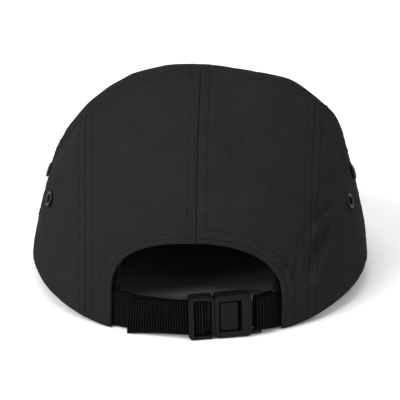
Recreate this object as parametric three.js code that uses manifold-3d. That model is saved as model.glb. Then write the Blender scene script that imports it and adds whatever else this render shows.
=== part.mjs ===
// Five panel cap with a flat peak, a strap arch at the back and a push-pad buckle.
// Millimetres. +Z is up, +Y is the back of the cap, -Y is the peak, +X is the wearer's left.
// The cap stands on its flat peak. The origin is on the ground under the middle of its box.

import * as THREE from "three";
import { mergeVertices } from "three/addons/utils/BufferGeometryUtils.js";
import Module from "manifold-3d";

const wasm = await Module();
wasm.setup();

// Crown
const CROWN_WIDTH = 172;
const CROWN_LENGTH = 196;
const CROWN_HEIGHT = 95;
const RIM_POWER = 2.2;
const APEX_FORWARD = 0.165;
const CLOTH = 1.6;
const SEAM_GAP = 0.3;
const CROWN_COLUMNS = 64;
const CROWN_ROWS = 16;

// Peak
const PEAK_LENGTH = 68;
const PEAK_WIDTH = 169;
const PEAK_THICKNESS = 4.5;
const PEAK_START = 20;
const PEAK_TUCK = 4;
const PEAK_POWER = 2.8;
const PEAK_EDGE = 1.3;

// Seams between the panels, as distances from the middle of the cap
const SIDE_SEAM_AT_RIM = 53;
const SIDE_SEAM_AT_TOP = 59;

// Arch over the strap
const ARCH_WIDTH = 82.5;
const ARCH_HEIGHT = 39.3;
const ARCH_SIDE_HEIGHT = 12;
const ARCH_POWER_LEFT = 2.5;
const ARCH_POWER_RIGHT = 2.05;

// Sweatband
const BAND_HEIGHT = 28;
const BAND_THICKNESS = 1.2;
const BAND_RISE = 1;
const BAND_DROP = 3.6;
const BAND_PAST_ARCH = 0.5;
const BAND_GAP = 0.7;

// Eyelets
const EYELET_DIAMETER = 7.8;
const EYELET_BORE = 4.4;
const EYELET_WALL = 0.7;
const EYELET_FLANGE = 0.7;
const EYELET_STAND = 0.5;

// Webbing
const WEBBING_WIDTH = 17.6;
const WEBBING_THICKNESS = 1.4;
const WEBBING_TUCK = 10;
const WEBBING_LEAVES = 1.5;
const WEBBING_CENTRE = 9.8;
const STRAP_MIDDLE = 0.52;
const STRAP_BOW = 2.4;
const STRAP_STAND = 0.6;
const TAIL_END = 32.7;
const TAIL_LIFT = 2.4;
const TAIL_CURL = 0.6;
const FIXED_RETURN_END = 36.5;

// Buckle
const BUCKLE_FROM_MIDDLE = 11;
const BUCKLE_BEHIND_RIM = -1.2;
const BUCKLE_CENTRE = 11.2;
const BUCKLE_YAW = 11;
const BUCKLE_ROLL = 1.2;
const BUCKLE_LENGTH = 30.3;
const BUCKLE_THICKNESS = 6.4;
const BUCKLE_CORNER = 2;
const BUCKLE_EDGE = 0.4;
const TONGUE_LENGTH = 12.3;
const RAIL = 1.6;
const OUTER_BAR = 2.3;
const OUTER_BAR_DEPTH = 1.6;
const INNER_BAR = 1.2;
const ADJUSTER_BAR_IN = 5.6;
const BAR_DIAMETER = 2.2;
const SOCKET_WALL = 1.5;
const WINDOW_LENGTH = 11;
const WINDOW_HEIGHT = 15.6;
const WINDOW_INSET = 2.3;
const PAD_LENGTH = 8.1;
const PAD_CLEARANCE = 0.8;
const TAB_THICKNESS = 2;
const TAB_PAST_PAD = 1;
const END_BAR_OUT = 4.1;
const FIT = 0.3;

const HALF_WIDTH = CROWN_WIDTH / 2;
const HALF_LENGTH = CROWN_LENGTH / 2;
const RIM_Z = PEAK_THICKNESS + SEAM_GAP;
const APEX_Y = -APEX_FORWARD * HALF_LENGTH;
const FAR = CROWN_LENGTH + PEAK_LENGTH;

// Beside the arch the rim hangs down to the level of the peak's underside. The drop is full up to
// the first angle from the back and ends at the second.
const LEG_DROP = PEAK_THICKNESS;
const LEG_DROP_FULL = 24;
const LEG_DROP_END = 62;

// Profiles of the crown from rim to apex, by the angle from the back in degrees.
// lean and crest are shares of the way out from the apex, rise and top are shares of the
// crown's height, and lift is how far the rim stands up, as a share of the crown's height.
const SECTIONS = [
  { angle: 0, lean: 0.965, rise: 0.64, crest: 0.7, top: 0.93, lift: 0 },
  { angle: 45, lean: 0.93, rise: 0.6, crest: 0.66, top: 0.94, lift: 0.005 },
  { angle: 90, lean: 0.905, rise: 0.73, crest: 0.675, top: 0.96, lift: 0.034 },
  { angle: 135, lean: 0.935, rise: 0.63, crest: 0.61, top: 0.94, lift: 0 },
  { angle: 180, lean: 0.95, rise: 0.56, crest: 0.6, top: 0.93, lift: 0 },
];

// The seam behind the front panel, by the turn from straight up towards the side.
// turn is a share of a right angle and back is a share of half the crown's length.
const FRONT_SEAM = [
  { turn: 0, back: -0.13 },
  { turn: 0.3, back: -0.05 },
  { turn: 0.6, back: -0.09 },
  { turn: 0.9, back: -0.12 },
  { turn: 1.2, back: -0.2 },
];

// Soft folds and dents of the crown, each from one place on it to another. The angles are
// degrees from the back, positive on the wearer's left. The heights are shares of the way
// from rim to apex. width and depth are shares of the crown's height, and dents are negative.
const FOLDS = [
  { angle: 87, height: 0.4, toAngle: 74, toHeight: 0.68, width: 0.1, depth: -0.03 },
  { angle: 70, height: 0.31, toAngle: 42, toHeight: 0.14, width: 0.06, depth: 0.014 },
  { angle: 55, height: 0.19, toAngle: 39, toHeight: 0.07, width: 0.05, depth: 0.01 },
  { angle: 34, height: 0.62, toAngle: 20, toHeight: 0.42, width: 0.16, depth: -0.012 },
  { angle: 116, height: 0.74, toAngle: 135, toHeight: 0.81, width: 0.15, depth: 0.017 },
  { angle: 92, height: 0.2, toAngle: 84, toHeight: 0.12, width: 0.1, depth: -0.013 },
  { angle: -86, height: 0.46, toAngle: -72, toHeight: 0.76, width: 0.2, depth: 0.03 },
  { angle: -92, height: 0.49, toAngle: -104, toHeight: 0.65, width: 0.15, depth: 0.03 },
  { angle: -90, height: 0.14, toAngle: -84, toHeight: 0.08, width: 0.09, depth: -0.009 },
  { angle: -80, height: 0.35, toAngle: -50, toHeight: 0.29, width: 0.05, depth: -0.018 },
  { angle: -58, height: 0.26, toAngle: -41, toHeight: 0.17, width: 0.05, depth: -0.014 },
  { angle: -71, height: 0.28, toAngle: -39, toHeight: 0.1, width: 0.05, depth: 0.014 },
  { angle: -34, height: 0.22, toAngle: -28, toHeight: 0.13, width: 0.04, depth: -0.012 },
  { angle: -30, height: 0.66, toAngle: -16, toHeight: 0.45, width: 0.16, depth: -0.01 },
  { angle: 170, height: 0.55, toAngle: 190, toHeight: 0.55, width: 0.22, depth: -0.012 },
];

// Two eyelets on each side
const EYELETS = [
  { name: "rear", angle: 70.5, height: 0.236 },
  { name: "front", angle: 87, height: 0.262 },
];

const cloth = new THREE.MeshStandardMaterial({ color: 0x2e2e2f, roughness: 0.95, metalness: 0 });
const bandCloth = new THREE.MeshStandardMaterial({ color: 0x2a2a2b, roughness: 1, metalness: 0 });
const webbing = new THREE.MeshStandardMaterial({ color: 0x141414, roughness: 0.8, metalness: 0 });
const plastic = new THREE.MeshStandardMaterial({ color: 0x1b1b1b, roughness: 0.5, metalness: 0 });
const metal = new THREE.MeshStandardMaterial({ color: 0x111112, roughness: 0.35, metalness: 0.7 });

// Smooth value of a table's column at a place along its first column
function tableValue(rows, key, column, place) {
  const found = rows.findIndex((row) => row[key] > place);
  const i = found < 0 ? rows.length - 2 : Math.max(found - 1, 0);
  const before = rows[Math.abs(i - 1)][column];
  const from = rows[i][column];
  const to = rows[i + 1][column];
  const after = rows[Math.min(i + 2, 2 * rows.length - 4 - i)][column];
  const t = (place - rows[i][key]) / (rows[i + 1][key] - rows[i][key]);
  const slope = to - before;
  const bend = 2 * before - 5 * from + 4 * to - after;
  const twist = 3 * (from - to) + after - before;
  return 0.5 * (2 * from + slope * t + bend * t ** 2 + twist * t ** 3);
}

function signedPower(value, power) {
  return Math.sign(value) * Math.abs(value) ** power;
}

// Point of the rim in plan, at an angle in degrees from the back
function rimPoint(angle) {
  const turn = THREE.MathUtils.degToRad(angle);
  const x = HALF_WIDTH * signedPower(Math.sin(turn), 2 / RIM_POWER);
  const y = HALF_LENGTH * signedPower(Math.cos(turn), 2 / RIM_POWER);
  return new THREE.Vector2(x, y);
}

// Angle from the back at which the rim is a given distance from the middle
function rimAngle(x) {
  const sine = signedPower(x / HALF_WIDTH, RIM_POWER / 2);
  return THREE.MathUtils.radToDeg(Math.asin(sine));
}

// Point of the crown's smooth outer surface, without its folds
function smoothCrown(angle, height) {
  const turned = Math.abs(THREE.MathUtils.euclideanModulo(angle + 180, 360) - 180);
  const section = (column) => tableValue(SECTIONS, "angle", column, turned);
  const t = height;
  const atRim = (1 - t) ** 3;
  const atLean = 3 * t * (1 - t) ** 2;
  const atCrest = 3 * t ** 2 * (1 - t);
  const out = atRim + atLean * section("lean") + atCrest * section("crest");
  const lift = Math.max(section("lift"), 0);
  const up = atRim * lift + atLean * section("rise") + atCrest * section("top") + t ** 3;
  const drop = LEG_DROP * (1 - THREE.MathUtils.smoothstep(turned, LEG_DROP_FULL, LEG_DROP_END));
  const rim = rimPoint(angle);
  const z = RIM_Z + up * CROWN_HEIGHT - atRim * drop;
  return new THREE.Vector3(rim.x * out, APEX_Y + (rim.y - APEX_Y) * out, z);
}

// Outward direction of the crown, which is level along the cut edge of the rim
function crownNormal(angle, height) {
  if (height >= 1) {
    return new THREE.Vector3(0, 0, 1);
  }
  const step = 0.01;
  const low = smoothCrown(angle, Math.max(height - step, 0));
  const up = smoothCrown(angle, Math.min(height + step, 1)).sub(low);
  const along = smoothCrown(angle + 1, height).sub(smoothCrown(angle - 1, height));
  const normal = up.cross(along);
  if (height <= 0) {
    normal.z = 0;
  }
  return normal.normalize();
}

const foldLines = FOLDS.map((fold) => {
  const start = smoothCrown(fold.angle, fold.height);
  const end = smoothCrown(fold.toAngle, fold.toHeight);
  return { ...fold, line: new THREE.Line3(start, end) };
});

function foldDepth(point) {
  let depth = 0;
  for (const fold of foldLines) {
    const nearest = fold.line.closestPointToPoint(point, true, new THREE.Vector3());
    const share = nearest.distanceTo(point) / (fold.width * CROWN_HEIGHT);
    depth += fold.depth * CROWN_HEIGHT * Math.exp(-(share ** 2));
  }
  return depth;
}

// Point of the crown, a given depth inside its outer surface
function crownPoint(angle, height, inside = 0) {
  const point = smoothCrown(angle, height);
  const move = foldDepth(point) - inside;
  return point.addScaledVector(crownNormal(angle, height), move);
}

// Share of the way from rim to apex at which the crown reaches a given level above the rim plane
function crownShareAt(angle, level) {
  let low = 0;
  let high = 0.9;
  for (let i = 0; i < 20; i += 1) {
    const middle = (low + high) / 2;
    if (smoothCrown(angle, middle).z - RIM_Z < level) {
      low = middle;
    } else {
      high = middle;
    }
  }
  return (low + high) / 2;
}

function solidFromFaces(points, faces) {
  const vertProperties = new Float32Array(points.flatMap((point) => point.toArray()));
  const triVerts = new Uint32Array(faces.flat());
  return new wasm.Manifold(new wasm.Mesh({ numProp: 3, vertProperties, triVerts }));
}

function solidFromGeometry(geometry) {
  geometry.deleteAttribute("normal");
  geometry.deleteAttribute("uv");
  const merged = mergeVertices(geometry, 1e-4);
  const vertProperties = new Float32Array(merged.attributes.position.array);
  const triVerts = new Uint32Array(merged.index.array);
  return new wasm.Manifold(new wasm.Mesh({ numProp: 3, vertProperties, triVerts }));
}

function meshFromSolid(name, solid, material) {
  const { vertProperties, triVerts } = solid.getMesh();
  const geometry = new THREE.BufferGeometry();
  geometry.setAttribute("position", new THREE.BufferAttribute(vertProperties, 3));
  geometry.setIndex(new THREE.BufferAttribute(triVerts, 1));
  geometry.computeVertexNormals();
  const mesh = new THREE.Mesh(geometry, material);
  mesh.name = name;
  return mesh;
}

// Closed sheet: pointAt(along, across, inner) gives both faces, along and across from 0 to 1
function sheetSolid(pointAt, alongSteps, acrossSteps) {
  const points = [];
  const faces = [];
  const width = acrossSteps + 1;
  const layer = (alongSteps + 1) * width;
  for (const inner of [false, true]) {
    for (let i = 0; i <= alongSteps; i += 1) {
      for (let j = 0; j <= acrossSteps; j += 1) {
        points.push(pointAt(i / alongSteps, j / acrossSteps, inner));
      }
    }
  }
  const quad = (a, b, c, d) => faces.push([a, b, c], [a, c, d]);
  for (let i = 0; i < alongSteps; i += 1) {
    for (let j = 0; j < acrossSteps; j += 1) {
      const a = i * width + j;
      quad(a, a + 1, a + width + 1, a + width);
      quad(layer + a, layer + a + width, layer + a + width + 1, layer + a + 1);
    }
    const low = i * width;
    const high = low + acrossSteps;
    quad(low, low + width, layer + low + width, layer + low);
    quad(high + width, high, layer + high, layer + high + width);
  }
  for (let j = 0; j < acrossSteps; j += 1) {
    const end = alongSteps * width + j;
    quad(j + 1, j, layer + j, layer + j + 1);
    quad(end, end + 1, layer + end + 1, layer + end);
  }
  return solidFromFaces(points, faces);
}

// The whole crown as one cloth shell, open at the rim
function crownShell() {
  const points = [];
  const faces = [];
  const insides = [0, CLOTH];
  for (const inside of insides) {
    for (let row = 0; row < CROWN_ROWS; row += 1) {
      for (let column = 0; column < CROWN_COLUMNS; column += 1) {
        points.push(crownPoint((column * 360) / CROWN_COLUMNS, row / CROWN_ROWS, inside));
      }
    }
    points.push(crownPoint(0, 1, inside));
  }
  const layer = CROWN_ROWS * CROWN_COLUMNS + 1;
  for (let column = 0; column < CROWN_COLUMNS; column += 1) {
    const next = (column + 1) % CROWN_COLUMNS;
    for (let row = 0; row < CROWN_ROWS - 1; row += 1) {
      const a = row * CROWN_COLUMNS + column;
      const b = row * CROWN_COLUMNS + next;
      const c = b + CROWN_COLUMNS;
      const d = a + CROWN_COLUMNS;
      faces.push([a, d, c], [a, c, b]);
      faces.push([layer + a, layer + c, layer + d], [layer + a, layer + b, layer + c]);
    }
    const last = (CROWN_ROWS - 1) * CROWN_COLUMNS;
    const apex = layer - 1;
    faces.push([last + column, apex, last + next]);
    faces.push([layer + last + column, layer + last + next, layer + apex]);
    faces.push([column, next, layer + next], [column, layer + next, layer + column]);
  }
  return solidFromFaces(points, faces);
}

// Place of the front panel's seam, by its distance from the middle and its height
function frontSeamY(x, z) {
  const turn = Math.atan2(Math.abs(x), Math.max(z - RIM_Z, 1)) / (Math.PI / 2);
  return tableValue(FRONT_SEAM, "turn", "back", turn) * HALF_LENGTH;
}

// Everything in front of the front seam, or behind it, less half the seam gap
function frontSeamRegion(side) {
  const steps = 24;
  const seam = (along, across) => {
    const x = (along * 2 - 1) * CROWN_WIDTH;
    const z = across * 2 * CROWN_HEIGHT - RIM_Z;
    return new THREE.Vector3(x, frontSeamY(x, z) + (side * SEAM_GAP) / 2, z);
  };
  const pointAt = (along, across, inner) => {
    const point = seam(along, across);
    const atSeam = side > 0 === inner;
    return atSeam ? point : point.setY(side * FAR);
  };
  return sheetSolid(pointAt, steps, steps);
}

function extrudedPlan(points, low, high) {
  const shape = new THREE.Shape(points);
  const geometry = new THREE.ExtrudeGeometry(shape, { depth: high - low, bevelEnabled: false });
  return solidFromGeometry(geometry.translate(0, 0, low));
}

function sideSeamX(y) {
  const share = (HALF_LENGTH - y) / (HALF_LENGTH - APEX_Y);
  return SIDE_SEAM_AT_RIM + (SIDE_SEAM_AT_TOP - SIDE_SEAM_AT_RIM) * share;
}

// Plan of a back panel or a side panel on one side of the cap
function panelRegion(side, fromX, toX) {
  const ends = [-HALF_LENGTH, HALF_LENGTH + CLOTH];
  const near = ends.map((y) => new THREE.Vector2(side * fromX(y), y));
  const far = ends.map((y) => new THREE.Vector2(side * toX(y), y)).reverse();
  return extrudedPlan([...near, ...far], -RIM_Z, RIM_Z + CROWN_HEIGHT + CLOTH);
}

// Opening above the strap, cut through the back of the crown
function archCutter() {
  const half = ARCH_WIDTH / 2;
  const rise = ARCH_HEIGHT - ARCH_SIDE_HEIGHT;
  const steps = 24;
  const points = [new THREE.Vector2(half, -2 * RIM_Z)];
  for (let i = 0; i <= steps; i += 1) {
    const turn = (i * Math.PI) / steps;
    const power = 2 * i < steps ? ARCH_POWER_LEFT : ARCH_POWER_RIGHT;
    const x = half * signedPower(Math.cos(turn), 2 / power);
    const z = RIM_Z + ARCH_SIDE_HEIGHT + rise * Math.sin(turn) ** (2 / power);
    points.push(new THREE.Vector2(x, z));
  }
  points.push(new THREE.Vector2(-half, -2 * RIM_Z));
  const geometry = new THREE.ExtrudeGeometry(new THREE.Shape(points), { depth: FAR, bevelEnabled: false });
  return solidFromGeometry(geometry.rotateX(Math.PI / 2).translate(0, FAR, 0));
}

// Where an eyelet sits, with its outward direction
function eyeletSeat(eyelet, side) {
  const point = crownPoint(side * eyelet.angle, eyelet.height);
  const outward = crownNormal(side * eyelet.angle, eyelet.height);
  const turn = new THREE.Quaternion().setFromUnitVectors(new THREE.Vector3(0, 0, 1), outward);
  return { point, turn };
}

// Ring with a flange on the outside of the cloth, from a closed profile round its own axis
function eyeletGeometry() {
  const bore = EYELET_BORE / 2;
  const barrel = bore + EYELET_WALL;
  const flange = EYELET_DIAMETER / 2;
  const low = -CLOTH - SEAM_GAP;
  const top = EYELET_STAND + EYELET_FLANGE;
  const profile = [
    [bore, low],
    [barrel, low],
    [barrel, EYELET_STAND],
    [flange, EYELET_STAND],
    [flange, EYELET_STAND + EYELET_FLANGE / 2],
    [flange - EYELET_FLANGE / 2, top],
    [bore + EYELET_FLANGE / 2, top],
    [bore, EYELET_STAND],
    [bore, low],
  ];
  const points = profile.map(([radius, level]) => new THREE.Vector2(radius, level));
  return new THREE.LatheGeometry(points, 20).rotateX(Math.PI / 2);
}

function eyeletHole(seat) {
  const radius = EYELET_BORE / 2 + EYELET_WALL + SEAM_GAP;
  const cylinder = new THREE.CylinderGeometry(radius, radius, 6 * CLOTH, 20).rotateX(Math.PI / 2);
  cylinder.applyQuaternion(seat.turn).translate(...seat.point.toArray());
  return solidFromGeometry(cylinder);
}

function makeEyelet(name, seat) {
  const mesh = meshFromSolid(name, solidFromGeometry(eyeletGeometry()), metal);
  mesh.position.copy(seat.point);
  mesh.quaternion.copy(seat.turn);
  return mesh;
}

// Flat bill: its full outline, less the inside of the crown
function makePeak() {
  const halfWidth = PEAK_WIDTH / 2;
  const reach = HALF_LENGTH + PEAK_LENGTH - PEAK_START;
  const steps = 40;
  const outline = [];
  for (let i = 0; i <= steps; i += 1) {
    const turn = (i * Math.PI) / steps;
    const x = halfWidth * signedPower(Math.cos(turn), 2 / PEAK_POWER);
    const y = -PEAK_START - reach * Math.sin(turn) ** (2 / PEAK_POWER);
    outline.push(new THREE.Vector2(x, y));
  }
  const settings = {
    depth: PEAK_THICKNESS - 2 * PEAK_EDGE,
    bevelThickness: PEAK_EDGE,
    bevelSize: PEAK_EDGE,
    bevelOffset: -PEAK_EDGE,
    bevelSegments: 2,
  };
  const blank = new THREE.ExtrudeGeometry(new THREE.Shape(outline), settings).translate(0, 0, PEAK_EDGE);
  const tucked = [];
  for (let column = 0; column < CROWN_COLUMNS; column += 1) {
    const inward = crownPoint((column * 360) / CROWN_COLUMNS, 0, PEAK_TUCK);
    tucked.push(new THREE.Vector2(inward.x, inward.y));
  }
  const inside = extrudedPlan(tucked, -PEAK_THICKNESS, 2 * PEAK_THICKNESS);
  return meshFromSolid("peak", solidFromGeometry(blank).subtract(inside), cloth);
}

// Band inside the rim. Near its two ends it passes over the tucked webbing.
function makeSweatband() {
  const start = rimAngle(ARCH_WIDTH / 2 - BAND_PAST_ARCH);
  const webbingEnd = rimAngle(ARCH_WIDTH / 2 + WEBBING_TUCK);
  const overWebbing = CLOTH + WEBBING_THICKNESS + BAND_GAP + 2 * SEAM_GAP;
  const pointAt = (along, across, inner) => {
    const angle = start + along * (360 - 2 * start);
    const fromEnd = Math.min(angle, 360 - angle) - webbingEnd;
    const ease = THREE.MathUtils.smoothstep(fromEnd, 2, 14);
    const outer = THREE.MathUtils.lerp(overWebbing, CLOTH + BAND_GAP, ease);
    const low = THREE.MathUtils.lerp(-BAND_DROP, BAND_RISE, ease);
    const level = THREE.MathUtils.lerp(low, BAND_RISE + BAND_HEIGHT, across);
    const share = crownShareAt(angle, Math.max(level, 0));
    const point = crownPoint(angle, share, outer + (inner ? BAND_THICKNESS : 0));
    return point.setZ(point.z + Math.min(level, 0));
  };
  return meshFromSolid("sweatband", sheetSolid(pointAt, 64, 3), bandCloth);
}

// The buckle's own frame: x along the webbing, y outwards, z across the webbing
function makeBuckleGroup() {
  const group = new THREE.Group();
  group.position.set(-BUCKLE_FROM_MIDDLE, HALF_LENGTH + BUCKLE_BEHIND_RIM, BUCKLE_CENTRE);
  const yaw = THREE.MathUtils.degToRad(BUCKLE_YAW);
  const roll = THREE.MathUtils.degToRad(BUCKLE_ROLL);
  group.rotation.set(0, roll, yaw, "ZYX");
  group.updateMatrixWorld(true);
  return group;
}

function roundedPlate(fromX, toX) {
  const halfHeight = BUCKLE_HALF_HEIGHT;
  const corner = BUCKLE_CORNER;
  const shape = new THREE.Shape();
  shape.moveTo(fromX + corner, -halfHeight);
  shape.lineTo(toX - corner, -halfHeight);
  shape.absarc(toX - corner, corner - halfHeight, corner, -Math.PI / 2, 0, false);
  shape.lineTo(toX, halfHeight - corner);
  shape.absarc(toX - corner, halfHeight - corner, corner, 0, Math.PI / 2, false);
  shape.lineTo(fromX + corner, halfHeight);
  shape.absarc(fromX + corner, halfHeight - corner, corner, Math.PI / 2, Math.PI, false);
  shape.lineTo(fromX, corner - halfHeight);
  shape.absarc(fromX + corner, corner - halfHeight, corner, Math.PI, Math.PI * 1.5, false);
  return shape;
}

// Full body of one half of the buckle, with softened edges
function buckleBody(fromX, toX) {
  const settings = {
    depth: BUCKLE_THICKNESS - 2 * BUCKLE_EDGE,
    bevelThickness: BUCKLE_EDGE,
    bevelSize: BUCKLE_EDGE,
    bevelOffset: -BUCKLE_EDGE,
    bevelSegments: 1,
    curveSegments: 5,
  };
  const geometry = new THREE.ExtrudeGeometry(roundedPlate(fromX, toX), settings).rotateX(Math.PI / 2);
  return solidFromGeometry(geometry.translate(0, BUCKLE_FACE - BUCKLE_EDGE, 0));
}

function block(fromX, toX, fromY, toY, fromZ, toZ) {
  const geometry = new THREE.BoxGeometry(toX - fromX, toY - fromY, toZ - fromZ);
  return solidFromGeometry(geometry.translate((fromX + toX) / 2, (fromY + toY) / 2, (fromZ + toZ) / 2));
}

function roundBar(x, halfLength) {
  const radius = BAR_DIAMETER / 2;
  const geometry = new THREE.CylinderGeometry(radius, radius, 2 * halfLength, 12);
  return solidFromGeometry(geometry.rotateX(Math.PI / 2).translate(x, 0, 0));
}

const BUCKLE_END = BUCKLE_LENGTH / 2;
const JOINT_X = BUCKLE_END - TONGUE_LENGTH;
const BUCKLE_FACE = BUCKLE_THICKNESS * 0.56;
const BUCKLE_BACK = BUCKLE_FACE - BUCKLE_THICKNESS;
const SLOT_HALF = WEBBING_WIDTH / 2 + FIT;
const BUCKLE_HALF_HEIGHT = SLOT_HALF + RAIL;
const ADJUSTER_BAR_X = JOINT_X + ADJUSTER_BAR_IN;
const END_BAR_X = -BUCKLE_END - END_BAR_OUT;
const WINDOW_FROM = JOINT_X - WINDOW_INSET - WINDOW_LENGTH;
const LOOP_RADIUS = BAR_DIAMETER / 2 + WEBBING_THICKNESS / 2 + FIT;

// Adjuster frame with its bar, and the tab and push pad that go into the socket
function makeTongue() {
  const across = BUCKLE_HALF_HEIGHT;
  const body = buckleBody(JOINT_X, BUCKLE_END);
  const inFrom = JOINT_X + INNER_BAR;
  const inTo = BUCKLE_END - OUTER_BAR;
  const opening = block(inFrom, inTo, -FAR, FAR, -SLOT_HALF, SLOT_HALF);
  const underBar = BUCKLE_FACE - OUTER_BAR_DEPTH;
  const entry = block(inFrom, FAR, -FAR, underBar, -SLOT_HALF, SLOT_HALF);
  const padHalf = WINDOW_HEIGHT / 2 - PAD_CLEARANCE;
  const padFrom = JOINT_X - WINDOW_INSET - PAD_CLEARANCE - PAD_LENGTH;
  const tabHalf = TAB_THICKNESS / 2;
  const tab = block(padFrom - TAB_PAST_PAD, inFrom, -tabHalf, tabHalf, -padHalf, padHalf);
  const pad = block(padFrom, padFrom + PAD_LENGTH, 0, BUCKLE_FACE - PAD_CLEARANCE / 2, -padHalf, padHalf);
  const solid = body.subtract(opening).subtract(entry).add(roundBar(ADJUSTER_BAR_X, across - RAIL / 2));
  return meshFromSolid("buckle_tongue", solid.add(tab).add(pad), plastic);
}

// Hollow half with a window over the push pad and a bar at its end for the fixed webbing
function makeSocket() {
  const across = BUCKLE_HALF_HEIGHT;
  const mouth = JOINT_X - FIT;
  const body = buckleBody(-BUCKLE_END, mouth);
  const windowTo = WINDOW_FROM + WINDOW_LENGTH;
  const windowHalf = WINDOW_HEIGHT / 2;
  const back = BUCKLE_BACK + SOCKET_WALL;
  const front = BUCKLE_FACE - SOCKET_WALL;
  const cavity = block(WINDOW_FROM - TAB_PAST_PAD, FAR, back, front, -windowHalf, windowHalf);
  const window = block(WINDOW_FROM, windowTo, 0, FAR, -windowHalf, windowHalf);
  const barRadius = BAR_DIAMETER / 2;
  const armEnd = END_BAR_X - barRadius;
  const bar = roundBar(END_BAR_X, across - RAIL / 2);
  let solid = body.subtract(cavity).subtract(window).add(bar);
  for (const side of [-1, 1]) {
    const low = Math.min(side * SLOT_HALF, side * across);
    const arm = block(armEnd, BUCKLE_CORNER - BUCKLE_END, -barRadius, barRadius, low, low + RAIL);
    solid = solid.add(arm);
  }
  return meshFromSolid("buckle_socket", solid, plastic);
}

// One place on the webbing's middle line, with the direction across the webbing
function crownStation(angle, inside) {
  const share = crownShareAt(angle, WEBBING_CENTRE - RIM_Z);
  const middle = crownPoint(angle, share, inside);
  const high = crownPoint(angle, share + 0.04, inside);
  return { middle, across: high.sub(middle).normalize() };
}

function buckleStation(group, x, y) {
  const middle = group.localToWorld(new THREE.Vector3(x, y, 0));
  const across = new THREE.Vector3(0, 0, 1).applyQuaternion(group.quaternion);
  return { middle, across };
}

// Half turn round a bar, which lies on the given side of the loop's open end
function loopStations(group, barX, towards) {
  const stations = [];
  for (let i = 0; i <= 4; i += 1) {
    const turn = (i * Math.PI) / 4;
    const x = barX + towards * LOOP_RADIUS * Math.sin(turn);
    stations.push(buckleStation(group, x, -LOOP_RADIUS * Math.cos(turn)));
  }
  return stations;
}

function webbingMesh(name, stations) {
  const middles = new THREE.CatmullRomCurve3(stations.map((station) => station.middle));
  const acrosses = new THREE.CatmullRomCurve3(stations.map((station) => station.across));
  const steps = 3 * (stations.length - 1);
  const pointAt = (along, share, inner) => {
    const middle = middles.getPoint(along);
    const across = acrosses.getPoint(along).normalize();
    const outward = across.clone().cross(middles.getTangent(along)).normalize();
    const out = ((inner ? -1 : 1) * WEBBING_THICKNESS) / 2;
    return middle.addScaledVector(across, (share - 0.5) * WEBBING_WIDTH).addScaledVector(outward, out);
  };
  return meshFromSolid(name, sheetSolid(pointAt, steps, 1), webbing);
}

const tuckedInside = CLOTH + 3 * SEAM_GAP + WEBBING_THICKNESS / 2;
const archAngle = rimAngle(ARCH_WIDTH / 2 + WEBBING_LEAVES);
const tuckedAngle = rimAngle(ARCH_WIDTH / 2 + WEBBING_TUCK);

function moved(station, out) {
  const middle = station.middle.clone().add(new THREE.Vector3(0, out, 0));
  return { middle, across: station.across };
}

function makeAdjustableStrap(group) {
  const tucked = crownStation(tuckedAngle, tuckedInside);
  const archEdge = crownStation(archAngle, tuckedInside);
  const entry = buckleStation(group, BUCKLE_END + FIT, -WEBBING_THICKNESS / 2 - FIT);
  const half = archEdge.middle.clone().lerp(entry.middle, STRAP_MIDDLE);
  half.y += STRAP_BOW;
  const across = archEdge.across.clone().lerp(entry.across, STRAP_STAND).normalize();
  const middle = { middle: half, across };
  const tailEnd = moved(archEdge, TAIL_LIFT);
  const share = (ARCH_WIDTH / 2 - TAIL_END) / (ARCH_WIDTH / 2 - half.x);
  tailEnd.middle.lerp(moved(middle, TAIL_LIFT).middle, share);
  tailEnd.middle.y += TAIL_CURL;
  const underFrame = [OUTER_BAR, 0].map((from) =>
    buckleStation(group, BUCKLE_END - from, WEBBING_THICKNESS / 2 + FIT / 2),
  );
  const loop = loopStations(group, ADJUSTER_BAR_X, -1);
  const tail = [...underFrame, moved(middle, TAIL_LIFT), tailEnd];
  return webbingMesh("strap_adjustable", [tucked, archEdge, middle, entry, ...loop, ...tail]);
}

function makeFixedStrap(group) {
  const tucked = crownStation(-tuckedAngle, tuckedInside);
  const archEdge = crownStation(-archAngle, tuckedInside);
  const loop = loopStations(group, END_BAR_X, 1).reverse();
  const leave = buckleStation(group, END_BAR_X - LOOP_RADIUS, LOOP_RADIUS);
  const share = (ARCH_WIDTH / 2 - FIXED_RETURN_END) / (ARCH_WIDTH / 2 + END_BAR_X - BUCKLE_FROM_MIDDLE);
  const inward = -WEBBING_THICKNESS - 2 * FIT;
  const returned = moved(archEdge, inward);
  const enter = buckleStation(group, END_BAR_X - LOOP_RADIUS, -LOOP_RADIUS);
  returned.middle.lerp(enter.middle, share);
  return webbingMesh("strap_fixed", [tucked, archEdge, leave, ...loop, enter, returned]);
}

function makeCrown(cap) {
  const shell = crownShell();
  const rear = frontSeamRegion(1);
  const front = frontSeamRegion(-1);
  const arch = archCutter();
  cap.add(meshFromSolid("front_panel", shell.intersect(front), cloth));
  const behind = shell.intersect(rear).subtract(arch);
  const halfGap = SEAM_GAP / 2;
  for (const side of [1, -1]) {
    const word = side > 0 ? "left" : "right";
    const seats = EYELETS.map((eyelet) => ({ name: eyelet.name, ...eyeletSeat(eyelet, side) }));
    const back = behind.intersect(panelRegion(side, () => halfGap, (y) => sideSeamX(y) - halfGap));
    let flank = behind.intersect(panelRegion(side, (y) => sideSeamX(y) + halfGap, () => CROWN_WIDTH));
    for (const seat of seats) {
      flank = flank.subtract(eyeletHole(seat));
      cap.add(makeEyelet(`eyelet_${word}_${seat.name}`, seat));
    }
    cap.add(meshFromSolid(`back_panel_${word}`, back, cloth));
    cap.add(meshFromSolid(`side_panel_${word}`, flank, cloth));
  }
}

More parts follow.
